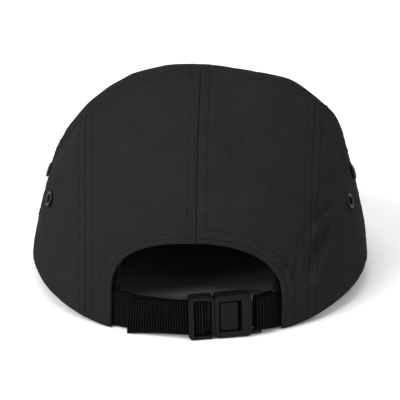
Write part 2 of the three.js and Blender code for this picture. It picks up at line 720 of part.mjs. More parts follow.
const cap = new THREE.Group();
makeCrown(cap);
cap.add(makePeak());
cap.add(makeSweatband());
const buckle = makeBuckleGroup();
cap.add(makeAdjustableStrap(buckle));
cap.add(makeFixedStrap(buckle));
buckle.add(makeTongue(), makeSocket());
cap.add(buckle);

cap.updateMatrixWorld(true);
const middleOfBox = new THREE.Box3().setFromObject(cap).getCenter(new THREE.Vector3());
cap.position.y = -middleOfBox.y;

export default cap;
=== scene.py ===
# Five panel cap seen from behind, on a white floor. Lengths are in millimetres until a mesh is made.
import math

import bpy
import numpy as np
from mathutils import Matrix, Vector


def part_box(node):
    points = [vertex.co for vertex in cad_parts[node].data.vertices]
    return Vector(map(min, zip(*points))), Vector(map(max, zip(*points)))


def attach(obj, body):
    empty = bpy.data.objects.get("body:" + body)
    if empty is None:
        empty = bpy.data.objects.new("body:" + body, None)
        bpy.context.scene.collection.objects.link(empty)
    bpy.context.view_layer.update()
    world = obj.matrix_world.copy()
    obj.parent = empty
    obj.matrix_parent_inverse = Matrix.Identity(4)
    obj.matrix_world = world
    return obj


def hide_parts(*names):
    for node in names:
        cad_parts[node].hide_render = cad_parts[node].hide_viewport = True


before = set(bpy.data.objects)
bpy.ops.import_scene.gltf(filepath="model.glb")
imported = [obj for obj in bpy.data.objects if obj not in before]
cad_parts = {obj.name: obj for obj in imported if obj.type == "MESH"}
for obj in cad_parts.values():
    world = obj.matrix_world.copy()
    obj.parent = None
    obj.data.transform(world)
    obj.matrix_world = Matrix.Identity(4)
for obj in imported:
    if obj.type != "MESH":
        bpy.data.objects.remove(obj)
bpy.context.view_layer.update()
scene = bpy.context.scene
MM = 0.001

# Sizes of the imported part
HALF_WIDTH = 86
HALF_LENGTH = 98
CROWN_HEIGHT = 95
RIM_POWER = 2.2
RIM_Z = 4.8
APEX_Y = -16.17
CLOTH = 1.6
SEAM_GAP = 0.3
SEAM_LINE = 0.1
PEAK_LENGTH = 68
PEAK_HALF_WIDTH = 84.5
PEAK_THICKNESS = 4.5
PEAK_START = 20
PEAK_TUCK = 4
PEAK_POWER = 2.8
SIDE_SEAM_AT_RIM = 53
SIDE_SEAM_AT_TOP = 59
ARCH_HALF = 41.25
ARCH_SIDE_HEIGHT = 12
ARCH_RISE = 27.3
ARCH_POWER_LEFT = 2.5
ARCH_POWER_RIGHT = 2.05
LEG_DROP_FULL = 24
LEG_DROP_END = 62
BAND_HEIGHT = 28
BAND_THICKNESS = 1.2
BAND_RISE = 1
BAND_DROP = 3.6
BAND_PAST_ARCH = 0.5
BAND_GAP = 0.7
WEBBING_WIDTH = 17.6
WEBBING_THICKNESS = 1.4
WEBBING_TUCK = 10
WEBBING_LEAVES = 1.5
WEBBING_CENTRE = 9.8
RIB = 1.3
SIDES = ((1, "left"), (-1, "right"))

# The row's origin is under the middle of its box, and the crown's is under its own middle.
SHIFT_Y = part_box("peak")[0].y / MM + HALF_LENGTH + PEAK_LENGTH

SECTION_ANGLES = [0, 45, 90, 135, 180]
SECTIONS = {
    "lean": [0.965, 0.93, 0.905, 0.935, 0.95],
    "rise": [0.64, 0.6, 0.73, 0.63, 0.56],
    "crest": [0.7, 0.66, 0.675, 0.61, 0.6],
    "top": [0.93, 0.94, 0.96, 0.94, 0.93],
    "lift": [0, 0.005, 0.034, 0, 0],
}
FRONT_SEAM_TURNS = [0, 0.3, 0.6, 0.9, 1.2]
FRONT_SEAM_BACK = [-0.13, -0.05, -0.09, -0.12, -0.2]

# Folds: angle and height at both ends, width and depth as shares of the crown's height
FOLDS = [
    (87, 0.4, 74, 0.68, 0.1, -0.03),
    (70, 0.31, 42, 0.14, 0.06, 0.014),
    (55, 0.19, 39, 0.07, 0.05, 0.01),
    (34, 0.62, 20, 0.42, 0.16, -0.012),
    (116, 0.74, 135, 0.81, 0.15, 0.017),
    (92, 0.2, 84, 0.12, 0.1, -0.013),
    (-86, 0.46, -72, 0.76, 0.2, 0.03),
    (-92, 0.49, -104, 0.65, 0.15, 0.03),
    (-90, 0.14, -84, 0.08, 0.09, -0.009),
    (-80, 0.35, -50, 0.29, 0.05, -0.018),
    (-58, 0.26, -41, 0.17, 0.05, -0.014),
    (-71, 0.28, -39, 0.1, 0.05, 0.014),
    (-34, 0.22, -28, 0.13, 0.04, -0.012),
    (-30, 0.66, -16, 0.45, 0.16, -0.01),
    (170, 0.55, 190, 0.55, 0.22, -0.012),
]
EYELETS = {"rear": (70.5, 0.236), "front": (87, 0.262)}

# Fine folds that only the scene has: angle and height at both ends, width and depth in millimetres
FINE_FOLDS = [
    (-60, 0.325, -52, 0.3, 2.4, 1.2),
    (-58, 0.29, -51, 0.28, 2.0, -1.0),
    (-58, 0.263, -45, 0.244, 2.8, 1.4),
    (-45, 0.244, -39, 0.194, 2.6, 1.0),
    (-54, 0.225, -46, 0.192, 3.4, -1.1),
    (-56, 0.219, -48, 0.16, 1.8, 2.0),
    (-48, 0.16, -40, 0.1, 1.8, 1.6),
    (-49, 0.15, -42, 0.07, 3.0, -1.0),
    (-34, 0.206, -31, 0.15, 1.5, 0.9),
    (-34.5, 0.175, -32.5, 0.14, 1.4, -0.9),
    (52, 0.388, 42, 0.244, 2.6, 0.5),
    (55, 0.363, 45, 0.219, 2.6, -0.45),
    (36, 0.2, 31, 0.14, 2.0, -0.4),
]


def table_value(keys, values, place):
    keys = np.asarray(keys, float)
    values = np.asarray(values, float)
    count = len(keys)
    i = np.clip(np.searchsorted(keys, place, side="right") - 1, 0, count - 2)
    before = values[np.abs(i - 1)]
    start = values[i]
    end = values[i + 1]
    after = values[np.minimum(i + 2, 2 * count - 4 - i)]
    t = (place - keys[i]) / (keys[i + 1] - keys[i])
    bend = 2 * before - 5 * start + 4 * end - after
    twist = 3 * (start - end) + after - before
    return 0.5 * (2 * start + (end - before) * t + bend * t**2 + twist * t**3)


def signed_power(value, power):
    return np.sign(value) * np.abs(value) ** power


def normalized(vectors):
    return vectors / np.maximum(np.linalg.norm(vectors, axis=-1, keepdims=True), 1e-9)


def run_along(points):
    """Length from the first point of a line to each of its points"""
    return np.concatenate([[0], np.cumsum(np.linalg.norm(np.diff(points, axis=0), axis=1))])


def sampled(places, run, points):
    return np.stack([np.interp(places, run, column) for column in points.T], -1)


def smoothstep(value, low, high):
    t = np.clip((value - low) / (high - low), 0, 1)
    return t * t * (3 - 2 * t)


def smooth_crown(angle, t):
    angle, t = np.broadcast_arrays(np.asarray(angle, float), np.asarray(t, float))
    turned = np.abs((angle + 180) % 360 - 180)
    section = {key: table_value(SECTION_ANGLES, row, turned) for key, row in SECTIONS.items()}
    at_rim = (1 - t) ** 3
    at_lean = 3 * t * (1 - t) ** 2
    at_crest = 3 * t**2 * (1 - t)
    out = at_rim + at_lean * section["lean"] + at_crest * section["crest"]
    lift = np.maximum(section["lift"], 0)
    up = at_rim * lift + at_lean * section["rise"] + at_crest * section["top"] + t**3
    turn = np.radians(angle)
    x = HALF_WIDTH * signed_power(np.sin(turn), 2 / RIM_POWER)
    y = HALF_LENGTH * signed_power(np.cos(turn), 2 / RIM_POWER)
    drop = PEAK_THICKNESS * (1 - smoothstep(turned, LEG_DROP_FULL, LEG_DROP_END))
    return np.stack([x * out, APEX_Y + (y - APEX_Y) * out, RIM_Z + up * CROWN_HEIGHT - at_rim * drop], -1)


def crown_normal(angle, t):
    step = 0.01
    up = smooth_crown(angle, np.minimum(t + step, 1)) - smooth_crown(angle, np.maximum(t - step, 0))
    along = smooth_crown(angle + 1, t) - smooth_crown(angle - 1, t)
    normal = np.cross(up, along)
    normal[..., 2] = np.where(np.asarray(t) <= 0, 0, normal[..., 2])
    top = np.asarray(t) >= 0.9999
    normal[top] = (0, 0, 1)
    return normalized(normal)


def segment_distance(points, start, end):
    line = end - start
    share = np.clip(((points - start) @ line) / (line @ line), 0, 1)
    return np.linalg.norm(points - start - share[..., None] * line, axis=-1)


def bell(value, width):
    return np.exp(-((value / width) ** 2))


def fold_depth(points, folds, surface, unit):
    depth = np.zeros(points.shape[:-1])
    for angle, height, to_angle, to_height, width, deep in folds:
        distance = segment_distance(points, surface(angle, height), surface(to_angle, to_height))
        depth += deep * unit * bell(distance, width * unit)
    return depth


def crown(angle, t, inside=0.0):
    point = smooth_crown(angle, t)
    move = fold_depth(point, FOLDS, smooth_crown, CROWN_HEIGHT) - inside
    return point + crown_normal(angle, t) * move[..., None]


def crown_share_at(angle, level):
    angle = np.asarray(angle, float)
    low = np.zeros_like(angle)
    high = np.full_like(angle, 0.9)
    for _ in range(24):
        middle = (low + high) / 2
        below = smooth_crown(angle, middle)[..., 2] - RIM_Z < level
        low = np.where(below, middle, low)
        high = np.where(below, high, middle)
    return (low + high) / 2


def rim_angle(x):
    return math.degrees(math.asin((x / HALF_WIDTH) ** (RIM_POWER / 2)))


def waves(seed, count, shortest, longest):
    """Smooth random field of points, about -1 to 1"""
    rng = np.random.default_rng(seed)
    directions = normalized(rng.normal(size=(count, 3)))
    lengths = shortest * (longest / shortest) ** rng.random(count)
    phases = rng.random(count) * 2 * math.pi

    def field(points):
        total = np.zeros(points.shape[:-1])
        for direction, length, phase in zip(directions, lengths, phases):
            total += np.sin(points @ direction * (2 * math.pi / length) + phase)
        return total / math.sqrt(count)

    return field


# Places where the panels end. Each is positive inside the panel, in millimetres.
def centre_seam(side):
    return lambda p: side * p[..., 0] - SEAM_LINE / 2


def side_seam_x(p):
    share = (HALF_LENGTH - p[..., 1]) / (HALF_LENGTH - APEX_Y)
    return SIDE_SEAM_AT_RIM + (SIDE_SEAM_AT_TOP - SIDE_SEAM_AT_RIM) * share


def side_seam(side, outward):
    return lambda p: outward * (side * p[..., 0] - side_seam_x(p)) - SEAM_LINE / 2


def front_seam_y(p):
    turn = np.arctan2(np.abs(p[..., 0]), np.maximum(p[..., 2] - RIM_Z, 1)) / (math.pi / 2)
    return table_value(FRONT_SEAM_TURNS, FRONT_SEAM_BACK, turn) * HALF_LENGTH


def front_seam(back):
    return lambda p: back * (p[..., 1] - front_seam_y(p)) - SEAM_LINE / 2


def arch(p):
    x = np.abs(p[..., 0])
    z = p[..., 2] - RIM_Z - ARCH_SIDE_HEIGHT
    above = np.maximum(z, 0)
    power = np.where(p[..., 0] > 0, ARCH_POWER_LEFT, ARCH_POWER_RIGHT)
    size = ((x / ARCH_HALF) ** power + (above / ARCH_RISE) ** power) ** (1 / power)
    size = np.maximum(size, 0.05)
    value = np.hypot(x, above) * (size - 1) / size
    return np.where(p[..., 1] > 0, value, 99.0)


def hole(centre, axis, radius):
    def field(p):
        offset = p - centre
        along = offset @ axis
        return np.linalg.norm(offset - along[..., None] * axis, axis=-1) - radius

    return field


def surface_slope(field, angle, t):
    """Value of a field with its slope along the cloth, and the step of angle and t that follows it"""
    a_step = 0.2
    t_step = 0.001
    p = crown(angle, t)
    pa = (crown(angle + a_step, t) - crown(angle - a_step, t)) / (2 * a_step)
    low = np.maximum(t - t_step, 0)
    high = np.minimum(t + t_step, 1)
    pt = (crown(angle, high) - crown(angle, low)) / (high - low)[..., None]
    value = field(p)
    fa = (field(p + pa * a_step) - field(p - pa * a_step)) / (2 * a_step)
    ft = (field(p + pt * t_step) - field(p - pt * t_step)) / (2 * t_step)
    aa = (pa * pa).sum(-1)
    at = (pa * pt).sum(-1)
    tt = (pt * pt).sum(-1)
    area = np.maximum(aa * tt - at * at, 1e-6)
    step_a = (tt * fa - at * ft) / area
    step_t = (aa * ft - at * fa) / area
    steep = np.maximum(step_a * fa + step_t * ft, 1e-4)
    return value, steep, step_a / steep, step_t / steep


def cloth_distance(field, angle, t):
    value, steep, _, _ = surface_slope(field, angle, t)
    return value / np.sqrt(np.clip(steep, LEAST_STEEP, None))


COLUMNS = 400
ROWS = 110
LAST_RING = 0.994
MOST_CORNERS = 10
LEAST_STEEP = 0.02
SNAP = 0.5


def padded(faces):
    """Faces of different sizes as one array, filled up with -1"""
    table = np.full((len(faces), MOST_CORNERS), -1)
    for i, face in enumerate(faces):
        table[i, :len(face)] = face
    return table


def crown_mesh():
    angle = np.repeat(-180 + np.arange(COLUMNS) * 360 / COLUMNS, ROWS + 1)
    t = np.tile(np.linspace(0, LAST_RING, ROWS + 1), COLUMNS)
    angle = np.append(angle, 0.0)
    t = np.append(t, 1.0)
    apex = len(angle) - 1
    faces = []
    for column in range(COLUMNS):
        here = column * (ROWS + 1)
        there = ((column + 1) % COLUMNS) * (ROWS + 1)
        for row in range(ROWS):
            faces.append((here + row, here + row + 1, there + row + 1, there + row))
        faces.append((here + ROWS, apex, there + ROWS))
    return angle, t, padded(faces)


def cut(mesh, field, level=0.0, keep_both=False):
    """Cuts a mesh of the crown where the cloth distance to a field's zero is level"""
    angle, t, faces = mesh
    value, steep, step_a, step_t = surface_slope(field, angle, t)
    distance = value / np.sqrt(np.clip(steep, LEAST_STEEP, None)) - level
    if not keep_both:
        near = (np.abs(distance) < SNAP) & (t > 0) & (t < LAST_RING)
        angle = np.where(near, angle - value * step_a, angle)
        t = np.where(near, np.clip(t - value * step_t, 0, 1), t)
        distance = np.where(near, 0, distance)
    distance = np.where(np.abs(distance) < 1e-3, 0, distance)
    signs = np.append(np.sign(distance).astype(int), 0)
    marks = signs[faces]
    high = marks.max(1)
    low = marks.min(1)
    mixed = (low < 0) & (high > 0)
    whole = ~mixed if keep_both else (low >= 0) & (high > 0)
    crossing = {}
    new_angle = []
    new_t = []
    parts = []

    def cross(i, j):
        key = (i, j) if i < j else (j, i)
        if key not in crossing:
            i, j = key
            share = distance[i] / (distance[i] - distance[j])
            crossing[key] = len(angle) + len(new_angle)
            new_angle.append(angle[i] + (angle[j] - angle[i]) * share)
            new_t.append(t[i] + (t[j] - t[i]) * share)
        return crossing[key]

    for row in faces[mixed].tolist():
        face = [i for i in row if i >= 0]
        for wanted in (1, -1) if keep_both else (1,):
            part = []
            for k, i in enumerate(face):
                j = face[(k + 1) % len(face)]
                if signs[i] * wanted >= 0:
                    part.append(i)
                if signs[i] * signs[j] < 0:
                    part.append(cross(i, j))
            if len(part) > 2:
                parts.append(part)
    faces = np.concatenate([faces[whole], padded(parts)])
    angle = np.concatenate([angle, new_angle])
    t = np.concatenate([t, new_t])
    used = np.unique(faces[faces >= 0])
    new = np.full(len(angle) + 1, -1)
    new[used] = np.arange(len(used))
    return angle[used], t[used], new[faces]


def iso_lines(mesh, values, level):
    """Lines of angle and t along which a value has a level"""
    angle, t, faces = mesh
    value = values - level
    above = np.append(value > 0, False)[faces] & (faces >= 0)
    below = np.append(value <= 0, False)[faces] & (faces >= 0)
    links = {}
    places = {}
    for row in faces[above.any(1) & below.any(1)].tolist():
        face = [i for i in row if i >= 0]
        ends = []
        for k, i in enumerate(face):
            j = face[(k + 1) % len(face)]
            if (value[i] > 0) != (value[j] > 0):
                i, j = min(i, j), max(i, j)
                share = value[i] / (value[i] - value[j])
                places[i, j] = (angle[i] + (angle[j] - angle[i]) * share, t[i] + (t[j] - t[i]) * share)
                ends.append((i, j))
        if len(ends) == 2:
            links.setdefault(ends[0], []).append(ends[1])
            links.setdefault(ends[1], []).append(ends[0])
    lines = []
    done = set()
    for start in sorted(links, key=lambda key: (len(links[key]), key)):
        if start in done:
            continue
        line = [start]
        done.add(start)
        while following := [key for key in links[line[-1]] if key not in done]:
            line.append(following[0])
            done.add(following[0])
        if len(line) > 4:
            lines.append(np.array([places[key] for key in line]))
    return lines


def border_of(faces, count):
    """Which points lie on the border of a mesh"""
    following = np.concatenate([faces[:, 1:], np.full((len(faces), 1), -1)], 1)
    real = faces >= 0
    after = np.where(real & (following < 0), faces[:, :1], following)
    ends = np.sort(np.stack([faces[real], after[real]], -1), -1)
    edges, uses = np.unique(ends, axis=0, return_counts=True)
    border = np.zeros(count, bool)
    border[edges[uses == 1].ravel()] = True
    return border


def mesh_from(name, points, faces):
    mesh = bpy.data.meshes.new(name)
    mesh.from_pydata(points, [], faces)
    mesh.update()
    return mesh


def linked(name, data):
    thing = bpy.data.objects.new(name, data)
    scene.collection.objects.link(thing)
    return thing


def object_from(name, points, faces, material, replaced=(), uv=None):
    """Mesh object from points in crown millimetres, riding on the cap"""
    points = np.asarray(points, float) + (0, SHIFT_Y, 0)
    mesh = mesh_from(name, (points * MM).tolist(), [tuple(int(i) for i in face) for face in faces])
    mesh.polygons.foreach_set("use_smooth", np.ones(len(mesh.polygons), bool))
    if uv is not None:
        layer = mesh.uv_layers.new(name="cloth")
        corners = np.zeros(len(mesh.loops), int)
        mesh.loops.foreach_get("vertex_index", corners)
        layer.data.foreach_set("uv", np.asarray(uv, np.float32)[corners].ravel())
    mesh.materials.append(material)
    mesh.update()
    piece = linked(name, mesh)
    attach(piece, "root")
    if replaced:
        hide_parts(*replaced)
    return piece


# Nodes for the materials
class Nodes:
    def __init__(self, name):
        self.material = bpy.data.materials.new(name)
        self.material.use_nodes = True
        self.tree = self.material.node_tree
        self.shader = self.tree.nodes["Principled BSDF"]

    def add(self, kind, inputs=None, **settings):
        node = self.tree.nodes.new(kind)
        for key, value in settings.items():
            setattr(node, key, value)
        for key, value in (inputs or {}).items():
            if isinstance(value, bpy.types.NodeSocket):
                self.tree.links.new(value, node.inputs[key])
            else:
                node.inputs[key].default_value = value
        return node

    def math(self, operation, first, second=0.0):
        node = self.add("ShaderNodeMath", {0: first, 1: second}, operation=operation)
        return node.outputs[0]

    def noise(self, vector, scale, detail=2.0, roughness=0.5):
        settings = {"Vector": vector, "Scale": scale, "Detail": detail, "Roughness": roughness}
        return self.add("ShaderNodeTexNoise", settings).outputs["Fac"]

    def stripes(self, vector, period, distortion=0.0, detail_scale=1.0):
        settings = {"Vector": vector, "Scale": 0.314159 / period, "Distortion": distortion,
                    "Detail": 2.0, "Detail Scale": detail_scale}
        return self.add("ShaderNodeTexWave", settings).outputs["Fac"]

    def turned(self, vector, degrees, scale=(1, 1, 1)):
        settings = {"Vector": vector, "Rotation": (0, 0, math.radians(degrees)), "Scale": scale}
        return self.add("ShaderNodeMapping", settings).outputs[0]

    def ranged(self, value, low, high, to_low=0.0, to_high=1.0):
        settings = {"Value": value, "From Min": low, "From Max": high, "To Min": to_low, "To Max": to_high}
        return self.add("ShaderNodeMapRange", settings).outputs[0]

    def product(self, first, *others):
        for other in others:
            first = self.math("MULTIPLY", first, other)
        return first

    def mixed(self, first, second, share):
        """The first value by its share and the second by the rest"""
        return self.math("ADD", self.product(first, share), self.product(second, 1 - share))

    def place(self):
        return self.add("ShaderNodeTexCoord").outputs["Object"]

    def cloth_uv(self):
        return self.add("ShaderNodeUVMap", uv_map="cloth").outputs[0]

    def shade(self, factor, dark, light):
        grey = self.ranged(factor, 0.0, 1.0, dark, light)
        colour = self.add("ShaderNodeCombineColor", {0: grey, 1: grey, 2: grey})
        self.tree.links.new(colour.outputs[0], self.shader.inputs["Base Color"])

    def bump(self, height, distance):
        node = self.add("ShaderNodeBump", {"Height": height, "Distance": distance * MM, "Strength": 1.0})
        self.tree.links.new(node.outputs[0], self.shader.inputs["Normal"])

    def finish(self, roughness, specular):
        self.shader.inputs["Roughness"].default_value = roughness
        self.shader.inputs["Specular IOR Level"].default_value = specular
        return self.material


def cloth_material(name, grey, line_angle, period, lines=0.65, contrast=1.0):
    """Twill with its lines at an angle from level, as seen from outside"""
    nodes = Nodes(name)
    uv = nodes.cloth_uv()
    twill = nodes.stripes(nodes.turned(uv, 90 - line_angle), period, 0.4, 0.7)
    slub = nodes.noise(nodes.turned(uv, -line_angle, (0.25, 2.2, 1)), 0.9, 2.0, 0.6)
    fuzz = nodes.noise(uv, 2.1, 2.0, 0.7)
    mottle = nodes.noise(uv, 0.06, 3.0, 0.6)
    height = nodes.mixed(nodes.mixed(twill, slub, lines), fuzz, 0.72)
    tone = nodes.mixed(height, mottle, 0.8)
    nodes.shade(nodes.math("ADD", nodes.product(tone, contrast), 0.5 - 0.5 * contrast), 0, grey * 2)
    nodes.bump(height, 0.14)
    return nodes.finish(1.0, 0.03)


def webbing_material(name, shaded_from):
    """Ribbed webbing, darkened by painted shade from a given length along it, and darker at its borders"""
    nodes = Nodes(name)
    uv = nodes.cloth_uv()
    along, across = nodes.add("ShaderNodeSeparateXYZ", {0: uv}).outputs[:2]
    ribs = nodes.math("POWER", nodes.stripes(uv, RIB), 2.0)
    lines = nodes.stripes(nodes.turned(uv, 90), 1.2, 0.4, 1.0)
    cells = nodes.product(ribs, nodes.ranged(lines, 0.0, 1.0, 0.25, 1.0))
    height = nodes.math("ADD", cells, nodes.product(nodes.noise(uv, 1.6, 2.0, 0.7), 0.2))
    border = nodes.ranged(nodes.math("ABSOLUTE", across), 7.9, 8.3, 1.0, 0.25)
    # Painted shade: from this length on, the webbing's colour is darkened to 0.6
    shaded = nodes.ranged(along, shaded_from - 2, shaded_from, 1.0, 0.6)
    nodes.shade(nodes.product(nodes.ranged(height, 0.15, 0.8), border, shaded), 0.0, 0.0145)
    nodes.bump(height, 0.35)
    return nodes.finish(0.7, 0.03)


def plastic_material():
    nodes = Nodes("buckle plastic")
    place = nodes.place()
    grain = nodes.noise(place, 2200.0)
    nodes.shade(nodes.mixed(grain, nodes.noise(place, 120.0), 0.5), 0.0026, 0.0056)
    nodes.bump(grain, 0.012)
    return nodes.finish(0.42, 0.1)


def grained_material(name, scale, detail, light, depth, roughness, specular):
    """Black with a fine grain, for thread and metal"""
    nodes = Nodes(name)
    grain = nodes.noise(nodes.place(), scale, detail, 0.6)
    nodes.shade(grain, 0.004, light)
    nodes.bump(grain, depth)
    return nodes.finish(roughness, specular)


def floor_painted_shade_material():
    """White, with painted shade under the crown and a painted light band behind the strap, as seen through
    the arch
    """
    nodes = Nodes("floor")
    middle = (0, -SHIFT_Y / HALF_LENGTH, 0)
    share = (1 / (HALF_WIDTH * MM), 1 / (HALF_LENGTH * MM), 0)
    settings = {"Vector": nodes.place(), "Scale": share, "Location": middle}
    flat = nodes.add("ShaderNodeMapping", settings).outputs[0]
    out = nodes.add("ShaderNodeVectorMath", {0: flat}, operation="LENGTH").outputs["Value"]
    across, back = nodes.add("ShaderNodeSeparateXYZ", {0: flat}).outputs[:2]
    curved = nodes.math("SUBTRACT", back, nodes.product(across, across, 0.7))
    # Painted light: a lighter band on the floor just inside the arch, behind the strap
    rise = nodes.ranged(curved, 0.33, 0.45, 0.14, 0.36)
    # Painted shade: the floor darkens again nearer the back rim, under the strap
    painted_shade_fall = nodes.ranged(back, 0.46, 0.56, 1.0, 0.05)
    # Painted shade under the crown, pure white outside its rim
    nodes.shade(nodes.math("MAXIMUM", nodes.product(rise, painted_shade_fall), nodes.ranged(out, 0.92, 0.97)), 0, 0.91)
    return nodes.finish(0.9, 0.1)


THREAD = grained_material("thread", 2600.0, 2.0, 0.01, 0.05, 0.8, 0.05)
PLASTIC = plastic_material()
METAL = grained_material("eyelet metal", 900.0, 3.0, 0.012, 0.01, 0.3, 0.1)

# A stitch's rings: place along it, rise off the cloth and size, as shares of its length or width
STITCH_RINGS = [(0.0, -0.35, 0.35), (0.18, 0.12, 0.9), (0.5, 0.3, 1.0), (0.82, 0.12, 0.9), (1.0, -0.35, 0.35)]
STITCH_LENGTH = 1.9
STITCH_GAP = 0.6
STITCH_WIDTH = 0.34
STITCH_STAND = 0.04
STITCH_SIDES = 5
stitch_points = []
stitch_faces = []


def skin(loops, close=False, flip=False):
    """Joins loops of points into a closed skin"""
    count = len(loops[0])
    rows = len(loops)
    faces = []
    for i in range(rows if close else rows - 1):
        here = i * count
        there = ((i + 1) % rows) * count
        for k in range(count):
            j = (k + 1) % count
            faces.append((here + k, here + j, there + j, there + k))
    if not close:
        faces.append(tuple(reversed(range(count))))
        faces.append(tuple((rows - 1) * count + k for k in range(count)))
    return np.concatenate(loops), [face[::-1] for face in faces] if flip else faces


def add_stitches(points, normals):
    """Lays stitches along a line on the cloth"""
    points = np.asarray(points)
    run = run_along(points)
    keep = np.concatenate([[True], np.diff(run) > 1e-6])
    run, points, normals = run[keep], points[keep], np.asarray(normals)[keep]
    start = STITCH_GAP
    while start + STITCH_LENGTH < run[-1]:
        ends = sampled(np.array([start, start + STITCH_LENGTH]), run, points)
        along = normalized(ends[1] - ends[0])
        rings = []
        for share, rise, size in STITCH_RINGS:
            here = start + share * STITCH_LENGTH
            normal = normalized(sampled(here, run, normals))
            across = np.cross(normal, along)
            middle = sampled(here, run, points) + normal * (rise * STITCH_WIDTH + STITCH_STAND)
            turns = 2 * math.pi * np.arange(STITCH_SIDES)[:, None] / STITCH_SIDES
            rings.append(middle + (np.cos(turns) * across + np.sin(turns) * normal) * size * STITCH_WIDTH / 2)
        base = sum(len(part) for part in stitch_points)
        corners, faces = skin(rings)
        stitch_points.append(corners)
        stitch_faces.extend(tuple(base + i for i in face) for face in faces)
        start += STITCH_LENGTH + STITCH_GAP


def finish_stitches(name):
    object_from(name, np.concatenate(stitch_points), stitch_faces, THREAD)
    stitch_points.clear()
    stitch_faces.clear()


# Cloth panels. An edge is a field, the width of its rolled edge and its rows of stitches.
SEAM_ROLL = 0.4
HEM_ROLL = 0.8
SLACK = 0.22
CRUMPLE = 0.1
PUCKER = 0.13
STITCH_DENT = 0.16
DENT_WIDTH = 0.55
PUCKER_WIDTH = 2.2
MOST_INSIDE = 0.15
RISE_STEP = 0.002
slack = waves(3, 24, 22, 60)
crumple = waves(5, 40, 6, 16)
pucker = waves(11, 40, 2.6, 5)


def edge_distances(edges, angle, t):
    """Distance to each edge, and last the distance to the rim"""
    distances = [cloth_distance(edge["field"], angle, t) for edge in edges]
    high = np.minimum(t + RISE_STEP, 1)
    low = np.maximum(t - RISE_STEP, 0)
    rise = np.linalg.norm(crown(angle, high) - crown(angle, low), axis=-1)
    distances.append(t * rise / (high - low))
    return distances


def relief(edges, distances, point):
    """How far the outer face stands off the plain crown"""
    height = SLACK * slack(point) + CRUMPLE * crumple(point) + fold_depth(point, FINE_FOLDS, crown, 1)
    for edge, distance in zip(edges, distances):
        rows = edge["rows"]
        if not rows:
            continue
        last = max(rows)
        inside = 1 - smoothstep(distance, last - 0.3, last + 1.2)
        height += edge["ridge"] * smoothstep(distance, 0, 1.2) * inside
        for row in rows:
            height += PUCKER * bell(distance - row, PUCKER_WIDTH) * pucker(point)
            height -= STITCH_DENT * bell(distance - row, DENT_WIDTH)
    return height


def rolled(edges, distances):
    """How far the cut edges are rolled in, at most by half the cloth"""
    drop = np.zeros_like(distances[0])
    rolls = [edge["roll"] for edge in edges] + [HEM_ROLL]
    for roll, distance in zip(rolls, distances):
        if roll:
            share = np.clip(1 - distance / roll, 0, 1)
            depth = min(roll, CLOTH / 2)
            drop = np.maximum(drop, depth * (1 - np.sqrt(np.maximum(1 - share**2, 0))))
    return drop


def panel_uv(points, centre):
    """Flat cloth coordinates in millimetres round a panel's middle, right and up as seen from outside"""
    origin = np.array([0, 0, RIM_Z])
    normal = normalized(np.asarray(centre) - origin)
    right = normalized(np.cross((0, 0, 1), normal))
    up = np.cross(normal, right)
    offset = points - origin
    direction = normalized(offset)
    cosine = np.clip(direction @ normal, -1, 1)
    bend = np.arccos(cosine)
    flat = np.stack([direction @ right, direction @ up], -1)
    scale = CROWN_HEIGHT * bend / np.maximum(np.linalg.norm(flat, axis=-1), 1e-6)
    return flat * scale[..., None]


BASE_MESH = crown_mesh()
CLEAR_OF_RIM = 1.5
CLEAR_OF_ROWS = 0.5
CLEAR_OF_EDGE = 0.6


def make_panel(name, edges, material, replaced, centre=(0, 0.4), inset=0.0, thickness=CLOTH):
    mesh = BASE_MESH
    for edge in edges:
        mesh = cut(mesh, edge["field"])
    for edge in edges:
        roll = edge["roll"]
        levels = [roll * 0.15, roll * 0.5, roll] if roll else []
        for row in edge["rows"]:
            levels += [row - 0.6, row, row + 0.6]
        for level in levels:
            mesh = cut(mesh, edge["field"], level, keep_both=True)
    angle, t, faces = mesh
    point = crown(angle, t)
    normal = crown_normal(angle, t)
    distances = edge_distances(edges, angle, t)
    drop = rolled(edges, distances) * thickness / CLOTH
    height = relief(edges, distances, point) if not inset else SLACK * slack(point)
    border = border_of(faces, len(angle))
    outer = point + normal * (height - drop - inset)[:, None]
    inner = point + normal * (np.minimum(height, MOST_INSIDE) + drop - inset - thickness)[:, None]
    middle = point + normal * (np.minimum(height, MOST_INSIDE) - inset - thickness / 2)[:, None]
    outer[border] = middle[border]
    inner_index = np.arange(len(angle))
    inner_index[~border] = len(angle) + np.arange((~border).sum())
    points = np.concatenate([outer, inner[~border]])
    outer_faces = [[i for i in row if i >= 0] for row in faces.tolist()]
    inner_faces = [inner_index[face[::-1]].tolist() for face in outer_faces]
    flat = panel_uv(point, crown(*centre))
    uv = np.concatenate([flat, flat[~border]])
    object_from(name, points, outer_faces + inner_faces, material, replaced, uv=uv)
    for edge, distance in zip(edges, distances):
        for row in edge["rows"]:
            for line in iso_lines(mesh, distance, row):
                a, share = line[:, 0], line[:, 1]
                near = edge_distances(edges, a, share)
                clear = near[-1] > CLEAR_OF_RIM
                for other, d in zip(edges, near):
                    if other is not edge:
                        covered = other["over"] and other["rows"]
                        clear &= d > (max(other["rows"]) + CLEAR_OF_ROWS if covered else CLEAR_OF_EDGE)
                if clear.sum() < 5:
                    continue
                a, share = a[clear], share[clear]
                p = crown(a, share)
                n = crown_normal(a, share)
                d = [d[clear] for d in near]
                add_stitches(p + n * relief(edges, d, p)[:, None], n)


def edge(field, roll, rows=(), ridge=0.16, over=False):
    return {"field": field, "roll": roll, "rows": rows, "ridge": ridge, "over": over}


def eyelet_seat(name, side):
    angle, height = EYELETS[name]
    return crown(side * angle, height), crown_normal(side * np.array(angle), np.array(height))


